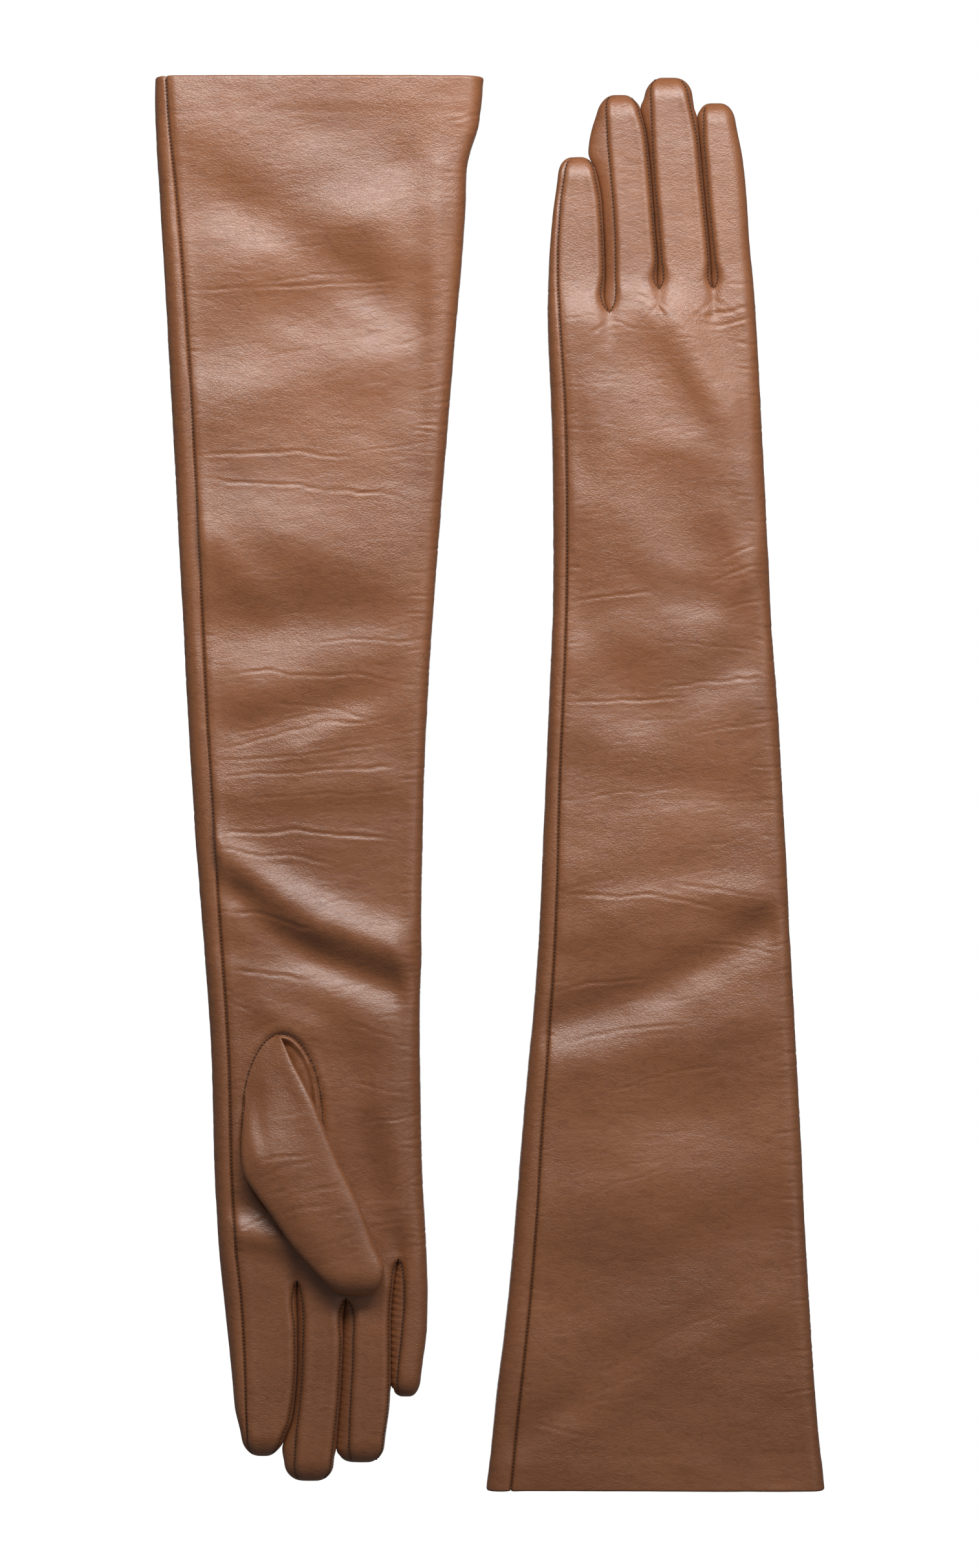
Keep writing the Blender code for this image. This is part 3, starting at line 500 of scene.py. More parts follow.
def outward(points):
    """The outward direction at each grid point."""
    along, across = np.gradient(points, axis=0), np.gradient(points, axis=1)
    normal = np.cross(across, along)
    size = np.linalg.norm(normal, axis=-1, keepdims=True)
    return normal / np.maximum(size, 1e-9)


def tube_point(arc, left, right, low, height):
    """x and z on a flattened tube's section. The arc length starts where the top's flat begins at the left."""
    r = np.minimum(SIDE_RADIUS, height / 2 - 0.01)
    flat = right - left - 2 * r
    side = math.pi * r + height - 2 * r
    around = 2 * flat + 2 * side
    arc = arc % around
    on_top, on_right = arc < flat, (arc >= flat) & (arc < flat + side)
    on_bottom = (arc >= flat + side) & (arc < 2 * flat + side)
    down = np.where(on_right, arc - flat, around - arc)
    quarter = math.pi / 2 * r
    straight = height - 2 * r
    first, last = np.clip(down, 0, quarter) / r, np.clip(down - quarter - straight, 0, quarter) / r
    reach = np.where(down < quarter + straight, np.sin(first), np.cos(last)) * r
    drop = r * (1 - np.cos(first)) + np.clip(down - quarter, 0, straight) + r * np.sin(last)
    x = np.where(on_right, right - r + reach, left + r - reach)
    x = np.where(on_top, left + r + arc, np.where(on_bottom, right - r - (arc - flat - side), x))
    z = np.where(on_top, low + height, np.where(on_bottom, low, low + height - drop))
    return x, z


def spread(length, pitch, dense_start=True, dense_end=True):
    """Places from 0 to length about a pitch apart, closer together at seams."""
    dense = [offset for offset in SEAM_OFFSETS if offset < length / 2.5]
    head = dense if dense_start else [0.0]
    tail = [length - offset for offset in (dense if dense_end else [0.0])]
    start, end = head[-1], min(tail)
    count = max(int(round((end - start) / pitch)), 1)
    middle = [start + (end - start) * k / count for k in range(1, count)]
    return np.array(head + middle + sorted(tail))


def seam_dip(distance):
    """The groove at a seam, with the leather plump beside it."""
    return SEAM_SWELL * bell(distance - 3.0, 1.6) - SEAM_DEPTH * bell(distance, SEAM_WIDTH)


def new_piece(name, vertices, faces, materials):
    """A smooth mesh object in the scene."""
    mesh = bpy.data.meshes.new(name)
    mesh.from_pydata(vertices, [], faces)
    mesh.shade_smooth()
    for material in materials:
        mesh.materials.append(material)
    piece = bpy.data.objects.new(name, mesh)
    bpy.context.scene.collection.objects.link(piece)
    return piece


def build_leather(name, points, materials, thickness=LEATHER):
    """A leather piece from a grid of points in mm."""
    rows, columns = points.shape[:2]
    index = np.arange(rows * columns).reshape(rows, columns)
    faces = np.stack([index[:-1, :-1], index[:-1, 1:], index[1:, 1:], index[1:, :-1]], -1).reshape(-1, 4)
    piece = new_piece(name, (points.reshape(-1, 3) * MM).tolist(), faces.tolist(), materials)
    shell = piece.modifiers.new("leather", "SOLIDIFY")
    shell.thickness = thickness * MM
    shell.offset = -1
    shell.material_offset = 1
    bpy.context.view_layer.update()
    solid = bpy.data.meshes.new_from_object(piece.evaluated_get(bpy.context.evaluated_depsgraph_get()))
    piece.modifiers.clear()
    piece.data = solid
    solid.set_sharp_from_angle(angle=math.radians(RIM_ANGLE))
    return piece


def sleeve_panel(side, upper):
    """One panel of a hand and sleeve, from the knuckles to the cuff. Returns its grid."""
    glove = GLOVES[side]
    way = glove["way"]
    pitch = UPPER_PITCH if upper else LOWER_PITCH
    first, last = sorted((glove["knuckle"], -way * CUFF_Y))
    y = np.linspace(first, last, int(round((last - first) / pitch[1])) + 1)[:, None]
    left, right, offset = (curve(glove[key])(y) for key in ("left", "right", "seam"))
    cuff = smooth((-way * y - CUFF_START) / (CUFF_Y - CUFF_START))
    height = SLEEVE_HEIGHT + (CUFF_HEIGHT[side] - SLEEVE_HEIGHT) * cuff
    r = np.minimum(SIDE_RADIUS, height / 2 - 0.01)
    flat = right - left - 2 * r
    turn = math.pi * r + height - 2 * r
    seam = np.where(offset >= r, offset - r, -r * np.arcsin(np.clip((r - offset) / r, 0, 1)))
    start, end = (seam, flat + turn) if upper else (flat + turn, 2 * flat + 2 * turn + seam)
    share = spread(float(np.mean(end - start)), pitch[0])
    arc = start + (end - start) * (share[None, :] / share[-1])
    x, z = tube_point(arc, left, right, 0 * y, height)
    points = np.stack([x, np.broadcast_to(y, x.shape), z], -1)
    normal = outward(points)
    stand = relief(side, points) - crotch_drop(side, points) + seam_dip(arc - start) + seam_dip(end - arc)
    from_cuff = CUFF_Y + way * points[..., 1] + 0.9 * noise(points, (11, 40, 40), 61)
    stand += HEM_PLUMP * smooth((HEM_DEPTH - from_cuff) / 3.0) - HEM_CREASE * bell(from_cuff - HEM_DEPTH - 1, 1.1)
    stand += 0.3 * (noise(points, (5.5, 60, 30), 62) * bell(from_cuff - 6, 9))
    if not upper:
        stand = np.minimum(stand, UNDER_CAP)
    if upper == (side == "right"):
        stand += thumb_seam_dip(side, points)
    points = lift(side, points + normal * stand[..., None])
    points[..., 2] = np.maximum(points[..., 2], LEAST_LEVEL)
    return points


def with_hem(side, points):
    """Turns the leather in at the cuff and back along its inside."""
    order = slice(None, None, GLOVES[side]["way"])  # from the cuff
    grid, inward = points[order], -outward(points)[order]
    way = np.array([0, -GLOVES[side]["way"], 0])
    turned = []
    for angle in np.radians(np.linspace(20, 160, 5)):
        turned.append(grid[0] + way * HEM_FOLD * math.sin(angle) + inward[0] * HEM_FOLD * (1 - math.cos(angle)))
    depth = int(np.argmax(np.abs(grid[:, 0, 1] - grid[0, 0, 1]) > HEM_DEPTH))
    for k in range(1, depth, 3):
        turned.append(grid[k] + inward[k] * 2 * HEM_FOLD)
    return np.concatenate([np.array(turned)[::-1], grid])[order]


def oval_distance(side, points):
    """How far a place is outside the thumb's oval seam, in mm."""
    (x, y), (rx, ry) = hole_place(side)
    dx, dy = points[..., 0] - x, points[..., 1] - y
    size = np.sqrt((dx / rx) ** 2 + (dy / ry) ** 2)
    return (size - 1) * np.hypot(dx, dy) / np.maximum(size, 1e-6)


def thumb_seam_dip(side, points):
    """The groove round the thumb's oval seam, and the leather that sinks inside it."""
    distance = oval_distance(side, points)
    (depth, width), (height, spill) = OVAL_GROOVE, OVAL_SWELL
    groove = height * bell(distance - 3, spill) - depth * bell(distance, width)
    return groove - HOLE_SINK * smooth((-distance - 0.6) / 4)


def hole_place(side):
    """The middle and radii of the oval where the thumb is sewn in."""
    if side == "right":
        return HOLE_CENTRE, HOLE_RADII
    return to_left_hand(*HOLE_CENTRE), (HOLE_RADII[0], HOLE_RADII[1] * MIRROR_SHRINK)


def to_left_hand(x, y):
    """Where a place on the right-hand glove's thumb lies on the left-hand glove."""
    return MIRROR_X - x, MIRROR_TIP_Y + MIRROR_SHRINK * (THUMB_TIP_Y - y)


class Finger:
    """One finger's lines and heights."""

    def __init__(self, side, name):
        self.side, self.name = side, name
        glove, lines = GLOVES[side], FINGERS[side][name]
        self.way, self.knuckle, self.tip = glove["way"], glove["knuckle"], lines["tip"]
        place = glove["order"].index(name)
        self.outer = {0: "left", 3: "right"}.get(place)
        crotches = [glove["crotches"][pair] for pair in itertools.pairwise(glove["order"])]
        self.crotch = {"left": crotches[place - 1] if place else None,
                       "right": crotches[place] if place < 3 else None}
        self.lines = {}
        for key in sorted(set(lines) - {"tip"}):
            (y1, x1), (y2, x2) = lines[key][-2:]
            points = lines[key] + [(self.tip, x2 + TIP_TAPER * (self.tip - y2) * (x2 - x1) / (y2 - y1))]
            crotch = self.crotch[key.removeprefix("seam_")]
            if crotch:
                if abs(self.knuckle - self.way * 0.5 - crotch[0]) >= 1.5:
                    points.insert(0, (self.knuckle - self.way * 0.5, crotch[1]))
                    points.insert(1, crotch)
                else:
                    points.insert(0, crotch)
            self.lines[key] = curve(points)
        for key, hand_line in (("left", curve(glove["left"])), ("right", curve(glove["right"])),
                               ("seam_left", lambda v: curve(glove["left"])(v) + curve(glove["seam"])(v))):
            if key.endswith(self.outer or "none") and key in self.lines:
                self.lines[key] = self.joined(self.lines[key], hand_line)
        self.own = dict(self.lines)

    def joined(self, line, hand_line):
        """An outer line that leaves the knuckles exactly where the hand's line ends."""
        jump = hand_line(self.knuckle) - line(self.knuckle)
        return lambda y: line(y) + jump * (1 - smooth(self.way * (y - self.knuckle) / JOIN_RUN))

    def meet(self, neighbour, edge):
        """Makes this finger's side reach the neighbour's, as far as the shorter of them is full."""
        other = "right" if edge == "left" else "left"
        mine, theirs = self.own[edge], neighbour.own[other]
        shorter = min(self.way * self.tip, neighbour.way * neighbour.tip)
        sign = 1 if edge == "left" else -1

        def reach(y):
            near = smooth((shorter - MEET_END - self.way * y) / MEET_FADE)
            middle = (mine(y) + theirs(y)) / 2 + sign * MEET_GAP
            return mine(y) + (middle - mine(y)) * near

        self.lines[edge] = reach

    def line(self, key, y):
        """A line, drawn in at the tip so that the finger ends in a round."""
        middle = (self.lines["left"](y) + self.lines["right"](y)) / 2
        back = np.clip(1 - np.abs(self.tip - y) / TIP_ROUND, 0, 1)
        share = TIP_FLAT + (1 - TIP_FLAT) * (1 - back ** TIP_SQUARE) ** (1 / TIP_SQUARE)
        return middle + (self.lines[key](y) - middle) * share

    def rows(self):
        """The finger's rows, from the knuckles to the tip, in order of y."""
        ahead = abs(self.tip - self.knuckle) - TIP_LENGTH
        straight = np.linspace(0, ahead, int(ahead / FINGER_PITCH))
        dome = ahead + TIP_LENGTH * np.sin(np.linspace(0, math.pi / 2, 18)[1:])
        rows = self.knuckle + self.way * np.concatenate([straight, dome])
        return rows if self.way > 0 else rows[::-1]

    def height(self, y):
        """The finger's lowest level and its height at y."""
        ahead = self.way * (y - self.knuckle)
        full = SLEEVE_HEIGHT + (FINGER_HEIGHT - SLEEVE_HEIGHT) * smooth(ahead / FINGER_RUN)
        back = np.clip(1 - np.abs(self.tip - y) / TIP_LENGTH, 0, 1)
        height = full * np.sqrt(np.maximum(1 - back * back, 0.0004))
        return TIP_LIFT * (full - height), height

    def edge_drop(self, x, y):
        """How far the leather falls away towards the seams at a place on the upper or lower side."""
        total = 0.0
        share = self.height(y)[1] / FINGER_HEIGHT
        for edge, sign in (("left", 1), ("right", -1)):
            if not self.crotch[edge]:
                continue
            apart = sign * (x - self.line("seam_" + edge, y))
            past = self.way * (y - self.crotch[edge][0])
            fade = smooth((past + CROTCH_RUN) / CROTCH_RUN)
            beyond = smooth(past / RIDGE_RUN)
            drop = CROTCH_DROP + (RIDGE_DROP - CROTCH_DROP) * beyond
            width = CROTCH_WIDTH + (RIDGE_WIDTH - CROTCH_WIDTH) * beyond
            groove = 0.8 * bell(apart, SEAM_WIDTH) - 0.25 * bell(apart - 2.4, 1.3)
            total = total + drop * fade * bell(apart, width) * share + share * smooth(past / 2.0) * groove
        return total

    def flat_side(self, y, upper):
        """The upper or lower strip between its two seam lines, with any wrap round an outer side."""
        left_key = "seam_left" if "seam_left" in self.lines else "left"
        low, height = self.height(y)
        r = height / 2
        outer = {"left": self.line("left", y) + r, "right": self.line("right", y) - r}
        start = self.line(left_key, y)
        end = outer["right"] if self.outer == "right" else self.line("seam_right", y)
        if not upper and self.outer == "left":
            start = outer["left"]
        wide = float(np.max(end - start))
        share = spread(wide, FINGER_PITCH * 1.3, True, not (upper and self.outer == "right"))
        share = share[None, :] / share[-1]
        x = start + (end - start) * share
        corner = 0.0
        if self.outer == "left" and upper:
            inset = np.clip((outer["left"] - x) / np.maximum(r, 1e-6), 0, 1)
            corner = r * (1 - np.sqrt(1 - inset * inset))
        drop, centre = self.edge_drop(x, y) + corner, low + r
        z = np.maximum(low + height - drop, centre) if upper else np.minimum(low + drop, centre)
        if upper and self.outer == "right":
            turns = np.linspace(0, math.pi, 15)[None, 1:]
            x = np.concatenate([x, outer["right"] + r * np.cos(math.pi / 2 - turns)], 1)
            z = np.concatenate([z, centre + r * np.sin(math.pi / 2 - turns)], 1)
        if not upper:
            x, z = x[:, ::-1], z[:, ::-1]
            if self.outer == "left":
                past = self.line("seam_left", y) - outer["left"]
                inset = np.clip(-past / np.maximum(r, 1e-6), 0, 1)
                around = math.pi * r + np.where(past > 0, past, -r * np.arcsin(inset))
                steps = spread(20.0, 1.2, False, True)[None, 1:] / 20.0
                arc = around * steps
                angle = -math.pi / 2 - np.minimum(arc / np.maximum(r, 1e-6), math.pi)
                wrap_x = outer["left"] + r * np.cos(angle) + np.maximum(arc - math.pi * r, 0)
                wrap_z = centre + r * np.sin(angle)
                x, z = np.concatenate([x, wrap_x], 1), np.concatenate([z, wrap_z], 1)
                from_seam = np.concatenate([99 + 0 * (x[:, :-wrap_x.shape[1]]), around - arc], 1)
                return x, z, seam_dip(from_seam)
        dip = seam_dip(x - start) if upper and self.outer == "left" else 0 * x
        return x, z, dip

    def fourchette(self, y, edge):
        """The strip down one side, from the upper seam to the lower at the right, or back up at the left."""
        low, height = self.height(y)
        seam, reach = self.line("seam_" + edge, y), self.line(edge, y)
        drop = self.edge_drop(seam, y)
        centre = low + height / 2
        top, bottom = np.maximum(low + height - drop, centre), np.minimum(low + drop, centre)
        t = (0.5 - 0.5 * np.cos(np.linspace(0, math.pi, 13)))[None, :]
        x = seam + (reach - seam) * np.sin(math.pi * t) ** 0.75
        z = top + (bottom - top) * t
        return (x, z) if edge == "right" else (x[:, ::-1], z[:, ::-1])


def finger_grid(finger, y, x, z, amount, ease=1.0, dip=0.0):
    """A finger's leather with its folds; amount is how much of them is left past the knuckles."""
    points = np.stack([x, np.broadcast_to(y, x.shape), z], -1)
    full = np.minimum(finger.height(y)[1] / FINGER_HEIGHT, 1)
    ahead = smooth(finger.way * (y - finger.knuckle) / FINGER_RUN)
    stand = relief(finger.side, points, 1 - (1 - amount) * ahead) * full * ease
    stand = np.minimum(stand, FINGER_CAP + 3 * (1 - ahead)) + dip * full
    points = lift(finger.side, points + outward(points) * stand[..., None])
    points[..., 2] = np.maximum(points[..., 2], LEAST_LEVEL)
    return points


def build_stitches(name, paths, thread):
    """Small thread beads along paths of points in mm."""
    vertices, faces = [], []
    angles = [2 * math.pi * k / STITCH_SIDES for k in range(STITCH_SIDES)]
    for path in paths:
        steps = np.linalg.norm(np.diff(path, axis=0), axis=1)
        places = np.concatenate([[0], np.cumsum(steps)])
        for middle in np.arange(STITCH_PITCH / 2, places[-1], STITCH_PITCH):
            at, before, ahead = (
                np.array([np.interp(middle + step, places, path[:, k]) for k in range(3)])
                for step in (0, -STITCH_PITCH / 2, STITCH_PITCH / 2)
            )
            run = (ahead - before) / max(np.linalg.norm(ahead - before), 1e-9)
            across = np.cross(run, (0.0, 0.0, 1.0))
            across /= max(np.linalg.norm(across), 1e-9)
            up = np.cross(across, run)
            run = run + STITCH_SLANT * across
            base = len(vertices)
            for share, size in STITCH_RINGS:
                for a in angles:
                    ring = across * math.cos(a) + up * math.sin(a)
                    vertices.append(tuple((at + run * share * STITCH_LENGTH + ring * size * STITCH_RADIUS) * MM))
            rings = np.arange(base, len(vertices)).reshape(-1, STITCH_SIDES)
            for near, far in itertools.pairwise(rings):
                faces += np.stack([near, np.roll(near, -1), np.roll(far, -1), far], -1).tolist()
            faces += [rings[0, ::-1].tolist(), rings[-1].tolist()]
    return new_piece(name, vertices, faces, [thread])


def raised(path, amount):
    """A path moved up, or down, by so many mm."""
    return path + np.array([0, 0, amount])


def build_hand(side, leather, thread):
    """A glove's two big panels and their seams."""
    glove = GLOVES[side]
    body = f"{side}_hand"
    grids = {}
    for upper in (True, False):
        kind = glove["upper"] if upper else glove["lower"]
        grids[upper] = sleeve_panel(side, upper)
        piece = build_leather(f"{side}_{kind}_leather", with_hem(side, grids[upper]), leather)
        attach(piece, body)
        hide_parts(f"{side}_{kind}_panel")
    for name, column in (("outer", 0), ("under", -1)):
        path = raised(grids[True][:, column], THREAD_LIFT[name])
        piece = build_stitches(f"{side}_{name}_stitches", [path], thread)
        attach(piece, body)
        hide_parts(f"{side}_{name}_seam_thread")


def build_finger(finger, leather, thread):
    """A finger's strips, fourchettes and stitches."""
    side, name = finger.side, finger.name
    glove, y = GLOVES[side], finger.rows()[:, None]
    pieces, grids = [], {}
    for upper in (True, False):
        kind = glove["upper"] if upper else glove["lower"]
        x, z, dip = finger.flat_side(y, upper)
        grids[upper] = finger_grid(finger, y, x, z, FINGER_CALM, dip=dip)
        piece = build_leather(f"{side}_{name}_{kind}_leather", grids[upper], leather)
        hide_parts(f"{side}_{name}_{kind}")
        pieces.append(piece)
    for edge in ("left", "right"):
        if edge == finger.outer:
            continue
        beyond = y[finger.way * (y[:, 0] - finger.crotch[edge][0]) >= 0]
        x, z = finger.fourchette(beyond, edge)
        across = np.linspace(-1, 1, x.shape[1])[None, :]
        depth = PLEAT_DEPTH.get((side, name, edge), 0.0)
        pleats = depth * (1 + np.sin(2 * math.pi * (beyond + 1.5 * across) / PLEAT_PITCH))
        grid = finger_grid(finger, beyond, x, z, FOURCHETTE_CALM, np.abs(across), pleats * (1 - across ** 2))
        piece = build_leather(f"{side}_{name}_{edge}_gusset_leather", grid, leather)
        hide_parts(f"{side}_{name}_{edge}_fourchette")
        pieces.append(piece)

    def seam(upper, column, edge):
        """The path of the thread beside one edge of the upper or lower strip."""
        path = grids[upper][:, column]
        crotch = finger.crotch[edge]
        if crotch:
            path = path[finger.way * (path[:, 1] - crotch[0]) > THREAD_START]
        path = path[np.abs(path[:, 1] - finger.tip) > THREAD_END]
        return raised(path, FINGER_THREAD_LIFT[0 if upper else 1])

    top = [seam(True, 0, "left")] + ([] if finger.outer == "right" else [seam(True, -1, "right")])
    under = [seam(False, 0, "right")] + ([] if finger.outer == "left" else [seam(False, -1, "left")])
    for kind, paths in ((glove["upper"], top), (glove["lower"], under)):
        piece = build_stitches(f"{side}_{name}_{kind}_stitches", paths, thread)
        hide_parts(f"{side}_{name}_{kind}_seam_thread")
        pieces.append(piece)
    for piece in pieces:
        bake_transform(piece)


def thumb_ring(side, turns):
    """The thumb's grid: rows along it in order of y, columns round it."""
    dome = THUMB_STRAIGHT + THUMB_DOME * np.sin(np.linspace(0, math.pi / 2, 14)[1:])
    ahead = np.concatenate([np.linspace(0, THUMB_STRAIGHT, 96), dome])[:, None]
    y = THUMB_TOP_Y - ahead
    left, right = curve(THUMB_LEFT)(y), curve(THUMB_RIGHT)(y)
    tip = np.clip(1 - (y - THUMB_TIP_Y) / THUMB_TIP_ROUND, 0, 1)
    tall = THUMB_TOP_HEIGHT + (THUMB_HEIGHT[side] - THUMB_TOP_HEIGHT) * smooth((ahead + 6) / 42)
    tall = tall * np.sqrt(np.maximum(1 - tip * tip, 0.0009))
    free = smooth((ahead - 22) / 34)
    c, s = np.cos(turns)[None, :], np.sin(turns)[None, :]
    x = (left + right) / 2 + (right - left) / 2 * np.sign(c) * np.abs(c) ** THUMB_POWER
    share = (x - left) / np.maximum(right - left, 1e-6)
    thin = free + (1 - free) * np.clip(share, 0, 1)
    lean = (1 - free) * (share - 1) * (tall / 2 + 0.5)
    up = tall / 2 + lean + thin * tall / 2 * np.sign(s) * np.abs(s) ** THUMB_POWER
    up = up - (1 - free) * THUMB_SINK * np.clip(-s, 0, 1) ** 0.5
    return np.broadcast_to(y, x.shape), x, up


def build_thumb(side, leather):
    """The thumb stall, sewn into its oval hole, built as two pieces: a root and a stall."""
    turns = np.linspace(math.pi, -math.pi, 73)
    y, x, up = thumb_ring(side, turns)
    points = np.stack([x, y, up + SLEEVE_HEIGHT], -1)[::-1]
    stand = 0.25 * noise(points, (14, 12, 12), 71) + 0.06 * noise(points, (5, 3, 5), 72)
    warp = 0.8 * noise(points, 8, 73)
    for fold in THUMB_FOLDS:
        stand += swell(points[..., 0], points[..., 1], *fold)
    for fold in THUMB_CREASES:
        stand += crease(points[..., 0] + warp, points[..., 1] + warp, *fold)
    full = smooth(up[::-1].max(1, keepdims=True) / 6)
    share = np.clip((points[..., 2] - SLEEVE_HEIGHT) / 4, 0, 1)
    scale = 1.0 if side == "right" else 0.5
    points = points + outward(points) * (stand * full * share * scale)[..., None]
    points[:, -1] = points[:, 0]
    if side == "right":
        points[..., 2] += 0.25
        start, end = THUMB_BEND
    else:
        x, y = to_left_hand(points[..., 0], points[..., 1])
        z = THUMB_HEIGHT["left"] - (points[..., 2] - SLEEVE_HEIGHT)
        points = np.stack([x, y, np.maximum(z, LEAST_LEVEL)], -1)[::-1]
        start, end = (to_left_hand(0, v)[1] for v in THUMB_BEND)
    cut = int(np.argmin(np.abs(points[:, 0, 1] - (start + end) / 2)))
    parts = points[:cut + 1], points[cut:]
    stall, root = parts if side == "right" else parts[::-1]
    for kind, rows in (("root", root), ("stall", stall)):
        piece = build_leather(f"{side}_thumb_{kind}_leather", rows, leather, LEATHER / 2)
        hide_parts(f"{side}_thumb_{kind}")
        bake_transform(piece)


def surface_level(side, x, y):
    """The level of the glove's outside where the thumb is sewn in."""
    points = np.stack([x, y, np.full_like(x, SLEEVE_HEIGHT if side == "right" else 0.0)], -1)
    if side == "right":
        return SLEEVE_HEIGHT + relief(side, points) + thumb_seam_dip(side, points)
    level = -np.minimum(relief(side, points), UNDER_CAP) + thumb_rise(x, y)
    return level + 1.0 * bell(oval_distance(side, points), 1.0)


def build_thumb_seam(side, leather, thread):
    """The crescent gusset beside the thumb and the stitches round the oval."""
    (x0, y0), (rx, ry) = hole_place(side)
    way = 1 if side == "right" else -1
    turns = np.radians(np.linspace(*GUSSET_ARC, 60))[:, None]
    inset = np.linspace(0, 1, 16)[None, :]
    wide = GUSSET_WIDTH * np.sin(math.pi * np.linspace(0.06, 0.97, 60))[:, None] ** 0.7
    x = x0 + way * (rx - 0.5) * np.cos(turns) - way * wide * inset
    y = y0 + way * (ry - 0.5) * np.sin(turns) + 0 * inset
    puff = np.sin(math.pi * inset ** 0.75) * np.sin(math.pi * np.linspace(0.03, 0.97, 60))[:, None]
    folds = 0.18 * noise(np.stack([x, y, 0 * x], -1), (9, 4, 5), 81)
    pleats = GUSSET_PLEAT * np.sin(turns * 19 + 3 * inset) * np.sin(math.pi * inset)
    z = surface_level(side, x, y) + way * (GUSSET_PUFF * puff + folds * inset + pleats - 0.3)
    points = np.stack([x, y, z], -1)[:, ::-way]
    piece = build_leather(f"{side}_thumb_gusset_leather", points, leather)
    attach(piece, f"{side}_hand")
    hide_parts(f"{side}_thumb_gusset")
    turns = np.radians(np.arange(*THUMB_SEAM_ARC, 1.5))
    x = x0 + way * (rx + STITCH_OUTSET) * np.cos(turns)
    y = y0 + way * (ry + STITCH_OUTSET) * np.sin(turns)
    path = np.stack([x, y, surface_level(side, x, y) + way * 0.25], -1)
    piece = build_stitches(f"{side}_thumb_stitches", [path], thread)
    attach(piece, f"{side}_hand")
    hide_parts(f"{side}_thumb_seam_thread")


class Nodes:
    """The node tree of a material or world, with short ways to add to it."""

    def __init__(self, owner):
        owner.use_nodes = True
        self.owner, self.tree = owner, owner.node_tree

    def put(self, socket, value):
        """Links a socket to an output, or gives it a value."""
        if isinstance(value, bpy.types.NodeSocket):
            self.tree.links.new(value, socket)
        else:
            socket.default_value = value

    def add(self, kind, inputs=None, out=0, **settings):
        """Adds a node and returns one of its outputs."""
        node = self.tree.nodes.new("ShaderNode" + kind)
        for key, value in settings.items():
            setattr(node, key, value)
        for key, value in (inputs or {}).items():
            self.put(node.inputs[key], value)
        return node.outputs[out]

    def place(self):
        """Places on the piece itself."""
        return self.add("TexCoord", out="Object")

    def turned(self, place, scale, degrees):
        """Places stretched along each axis and turned about Z."""
        return self.add("Mapping", {"Vector": place, "Scale": scale, "Rotation": (0, 0, math.radians(degrees))})

    def noise(self, place, scale, detail, roughness=0.5, distortion=0.0, out="Fac"):
        return self.add("TexNoise", {"Vector": place, "Scale": scale, "Detail": detail, "Roughness": roughness,
                                     "Distortion": distortion}, out)

    def remap(self, value, low, high, start=0.0, end=1.0, **settings):
        """A value between low and high, spread from start to end."""
        return self.add("MapRange", {"Value": value, "From Min": low, "From Max": high, "To Min": start,
                                     "To Max": end}, "Result", **settings)

    def bump(self, height, strength, distance, **below):
        """A normal pushed about by a height, on top of the normal below it."""
        return self.add("Bump", {"Height": height, "Strength": strength, "Distance": distance, **below})

    def ramp(self, factor, stops):
        """Colours at places between 0 and 1."""
        colour = self.add("ValToRGB", {"Fac": factor}, "Color")
        elements = colour.node.color_ramp.elements
        while len(elements) < len(stops):
            elements.new(0.5)
        for element, (place, value) in zip(elements, stops):
            element.position = place
            element.color = (*value, 1.0)
        return colour

    def surface(self, **values):
        """Sets the material's main shader and returns the material."""
        for key, value in values.items():
            self.put(self.tree.nodes["Principled BSDF"].inputs[key.replace("_", " ")], value)
        return self.owner


def leather_material():
    """Smooth brown nappa: a fine crosswise grain, cloudy colour and a soft gloss."""
    s = Nodes(bpy.data.materials.new("brown_nappa_leather"))
    place = s.place()
    fine = s.noise(s.turned(place, (420.0, 900.0, 420.0), 8), 1.0, 5.0, 0.62, 1.1)
    wrinkle = s.noise(s.turned(place, (200.0, 400.0, 200.0), 14), 1.0, 3.0, 0.55, 1.6)
    pores = s.add("TexVoronoi", {"Vector": place, "Scale": 1500.0}, "Distance")
    cells = s.turned(place, (620.0, 1050.0, 620.0), 10)
    cells = s.add("VectorMath", {0: cells, 1: s.noise(cells, 0.7, 2.0, out="Color")}, operation="ADD")
    cells = s.add("TexVoronoi", {"Vector": cells, "Scale": 1.0, "Randomness": 1.0}, "Distance",
                  feature="DISTANCE_TO_EDGE")
    pebbles = s.remap(cells, 0.0, 0.22, interpolation_type="SMOOTHSTEP")
    cloudy = s.ramp(s.noise(place, 18.0, 3.0), [(0.3, (0.212, 0.071, 0.023)), (0.55, (0.250, 0.087, 0.029)),
                                                (0.8, (0.282, 0.101, 0.036))])
    grainy = s.ramp(wrinkle, [(0.32, (0.80, 0.76, 0.72)), (0.52, (1.0, 1.0, 1.0))])
    colour = s.add("Mix", {"Factor": 0.8, "A": cloudy, "B": grainy}, "Result", data_type="RGBA",
                   blend_type="MULTIPLY")
    patches = s.remap(s.noise(place, 26.0, 2.0), 0.35, 0.65, 0.05, 0.22)
    normal = s.bump(wrinkle, 0.22, 0.0007)
    for height, strength, distance in ((fine, 0.14, 0.0004), (pebbles, patches, 0.0003), (pores, 0.12, 0.0002)):
        normal = s.bump(height, strength, distance, Normal=normal)
    return s.surface(Base_Color=colour, Roughness=s.remap(fine, 0.3, 0.7, 0.38, 0.52), Normal=normal,
                     Specular_IOR_Level=0.85, Sheen_Weight=0.03, Sheen_Roughness=0.4, Coat_Weight=0.06,
                     Coat_Roughness=0.35)


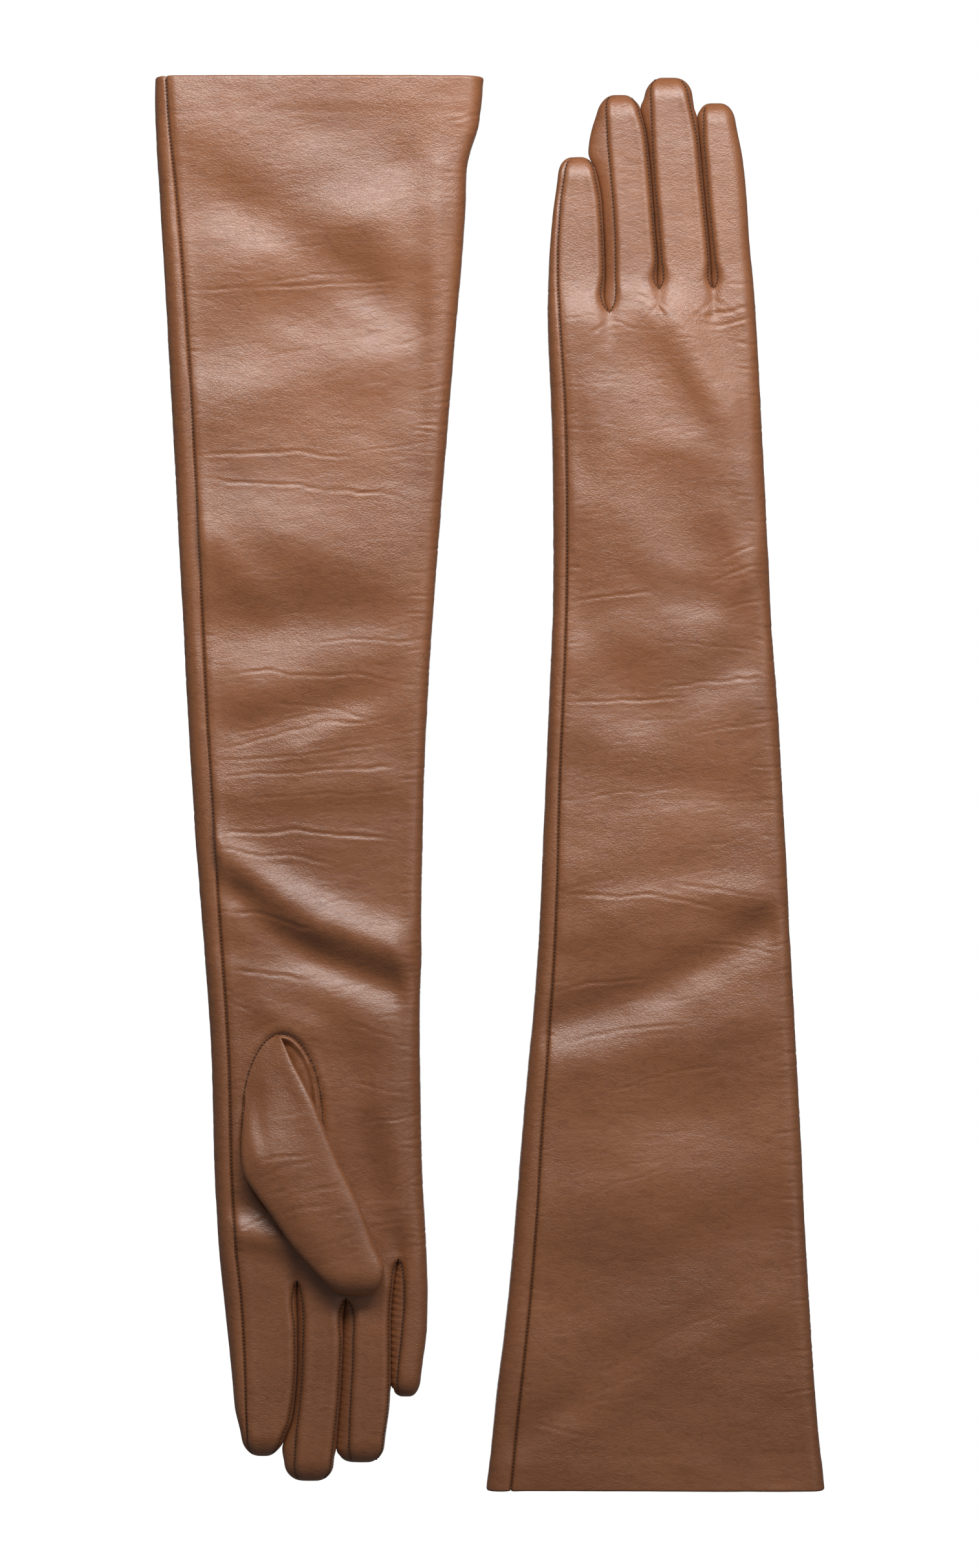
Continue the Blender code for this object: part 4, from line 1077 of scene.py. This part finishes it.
def suede_material():
    """The leather's flesh side: paler, matt and fibrous."""
    s = Nodes(bpy.data.materials.new("leather_flesh_side"))
    nap = s.noise(s.place(), 900.0, 4.0, 0.7)
    colour = s.ramp(nap, [(0.3, (0.27, 0.15, 0.09)), (0.7, (0.40, 0.24, 0.155))])
    return s.surface(Base_Color=colour, Normal=s.bump(nap, 0.5, 0.0004), Roughness=0.9, Sheen_Weight=0.3)


def thread_material():
    """Waxed dark brown thread with its twist."""
    s = Nodes(bpy.data.materials.new("dark_brown_thread"))
    twist = s.add("TexWave", {"Vector": s.place(), "Scale": 1400.0, "Distortion": 2.0}, "Fac",
                  bands_direction="DIAGONAL")
    colour = s.ramp(twist, [(0.2, (0.045, 0.017, 0.008)), (0.8, (0.085, 0.034, 0.017))])
    return s.surface(Base_Color=colour, Normal=s.bump(twist, 0.4, 0.0001), Roughness=0.6)


def build_stage():
    """A white floor that is seen only from above, the lights, and a camera straight above the gloves."""
    bpy.ops.mesh.primitive_plane_add(size=6.0, location=(0, 0, -0.0005))
    floor = bpy.context.object
    floor.name = "floor"
    s = Nodes(bpy.data.materials.new("white_floor"))
    seen, below = s.add("LightPath", out="Is Camera Ray"), s.add("NewGeometry", out="Backfacing")
    above = s.add("Math", {0: seen, 1: below}, operation="SUBTRACT", use_clamp=True)
    glow = s.add("Emission", {"Color": WHITE, "Strength": 1.0})
    both = s.add("MixShader", {0: above, 1: s.add("BsdfTransparent"), 2: glow})
    s.put(s.tree.nodes["Material Output"].inputs["Surface"], both)
    floor.data.materials.append(s.owner)

    # The world lights the gloves softly and looks white to the camera
    scene = bpy.context.scene
    scene.view_settings.view_transform = "Standard"
    s = Nodes(bpy.data.worlds.new("studio"))
    soft = s.tree.nodes["Background"]
    s.put(soft.inputs["Color"], WHITE)
    s.put(soft.inputs["Strength"], WORLD_LIGHT)
    seen, white = s.add("LightPath", out="Is Camera Ray"), s.add("Background", {"Color": WHITE})
    both = s.add("MixShader", {0: seen, 1: soft.outputs[0], 2: white})
    s.put(s.tree.nodes["World Output"].inputs["Surface"], both)
    scene.world = s.owner

    for name, (place, size, power, aim) in LIGHTS.items():
        light = bpy.data.lights.new(name, "AREA")
        light.shape = "RECTANGLE"
        light.size, light.size_y = size
        light.energy = power
        lamp = bpy.data.objects.new(name, light)
        lamp.location = place
        lamp.rotation_euler = (Vector(aim) - lamp.location).to_track_quat("-Z", "Y").to_euler()
        scene.collection.objects.link(lamp)

    camera = bpy.data.cameras.new("camera")
    camera.lens = 100.0
    camera.sensor_width = 36.0
    eye = bpy.data.objects.new("camera", camera)
    eye.location = (0.0, 0.0, CAMERA_HEIGHT)
    scene.collection.objects.link(eye)
    scene.camera = eye


def main():
    """Builds both gloves and the stage."""
    leather = [leather_material(), suede_material()]
    thread = thread_material()
    for side in GLOVES:
        build_hand(side, leather, thread)
        fingers = {name: Finger(side, name) for name in FINGERS[side]}
        for left, right in itertools.pairwise(GLOVES[side]["order"]):
            fingers[left].meet(fingers[right], "right")
            fingers[right].meet(fingers[left], "left")
        for finger in fingers.values():
            build_finger(finger, leather, thread)
        build_thumb(side, leather)
        build_thumb_seam(side, leather, thread)
    build_stage()


main()
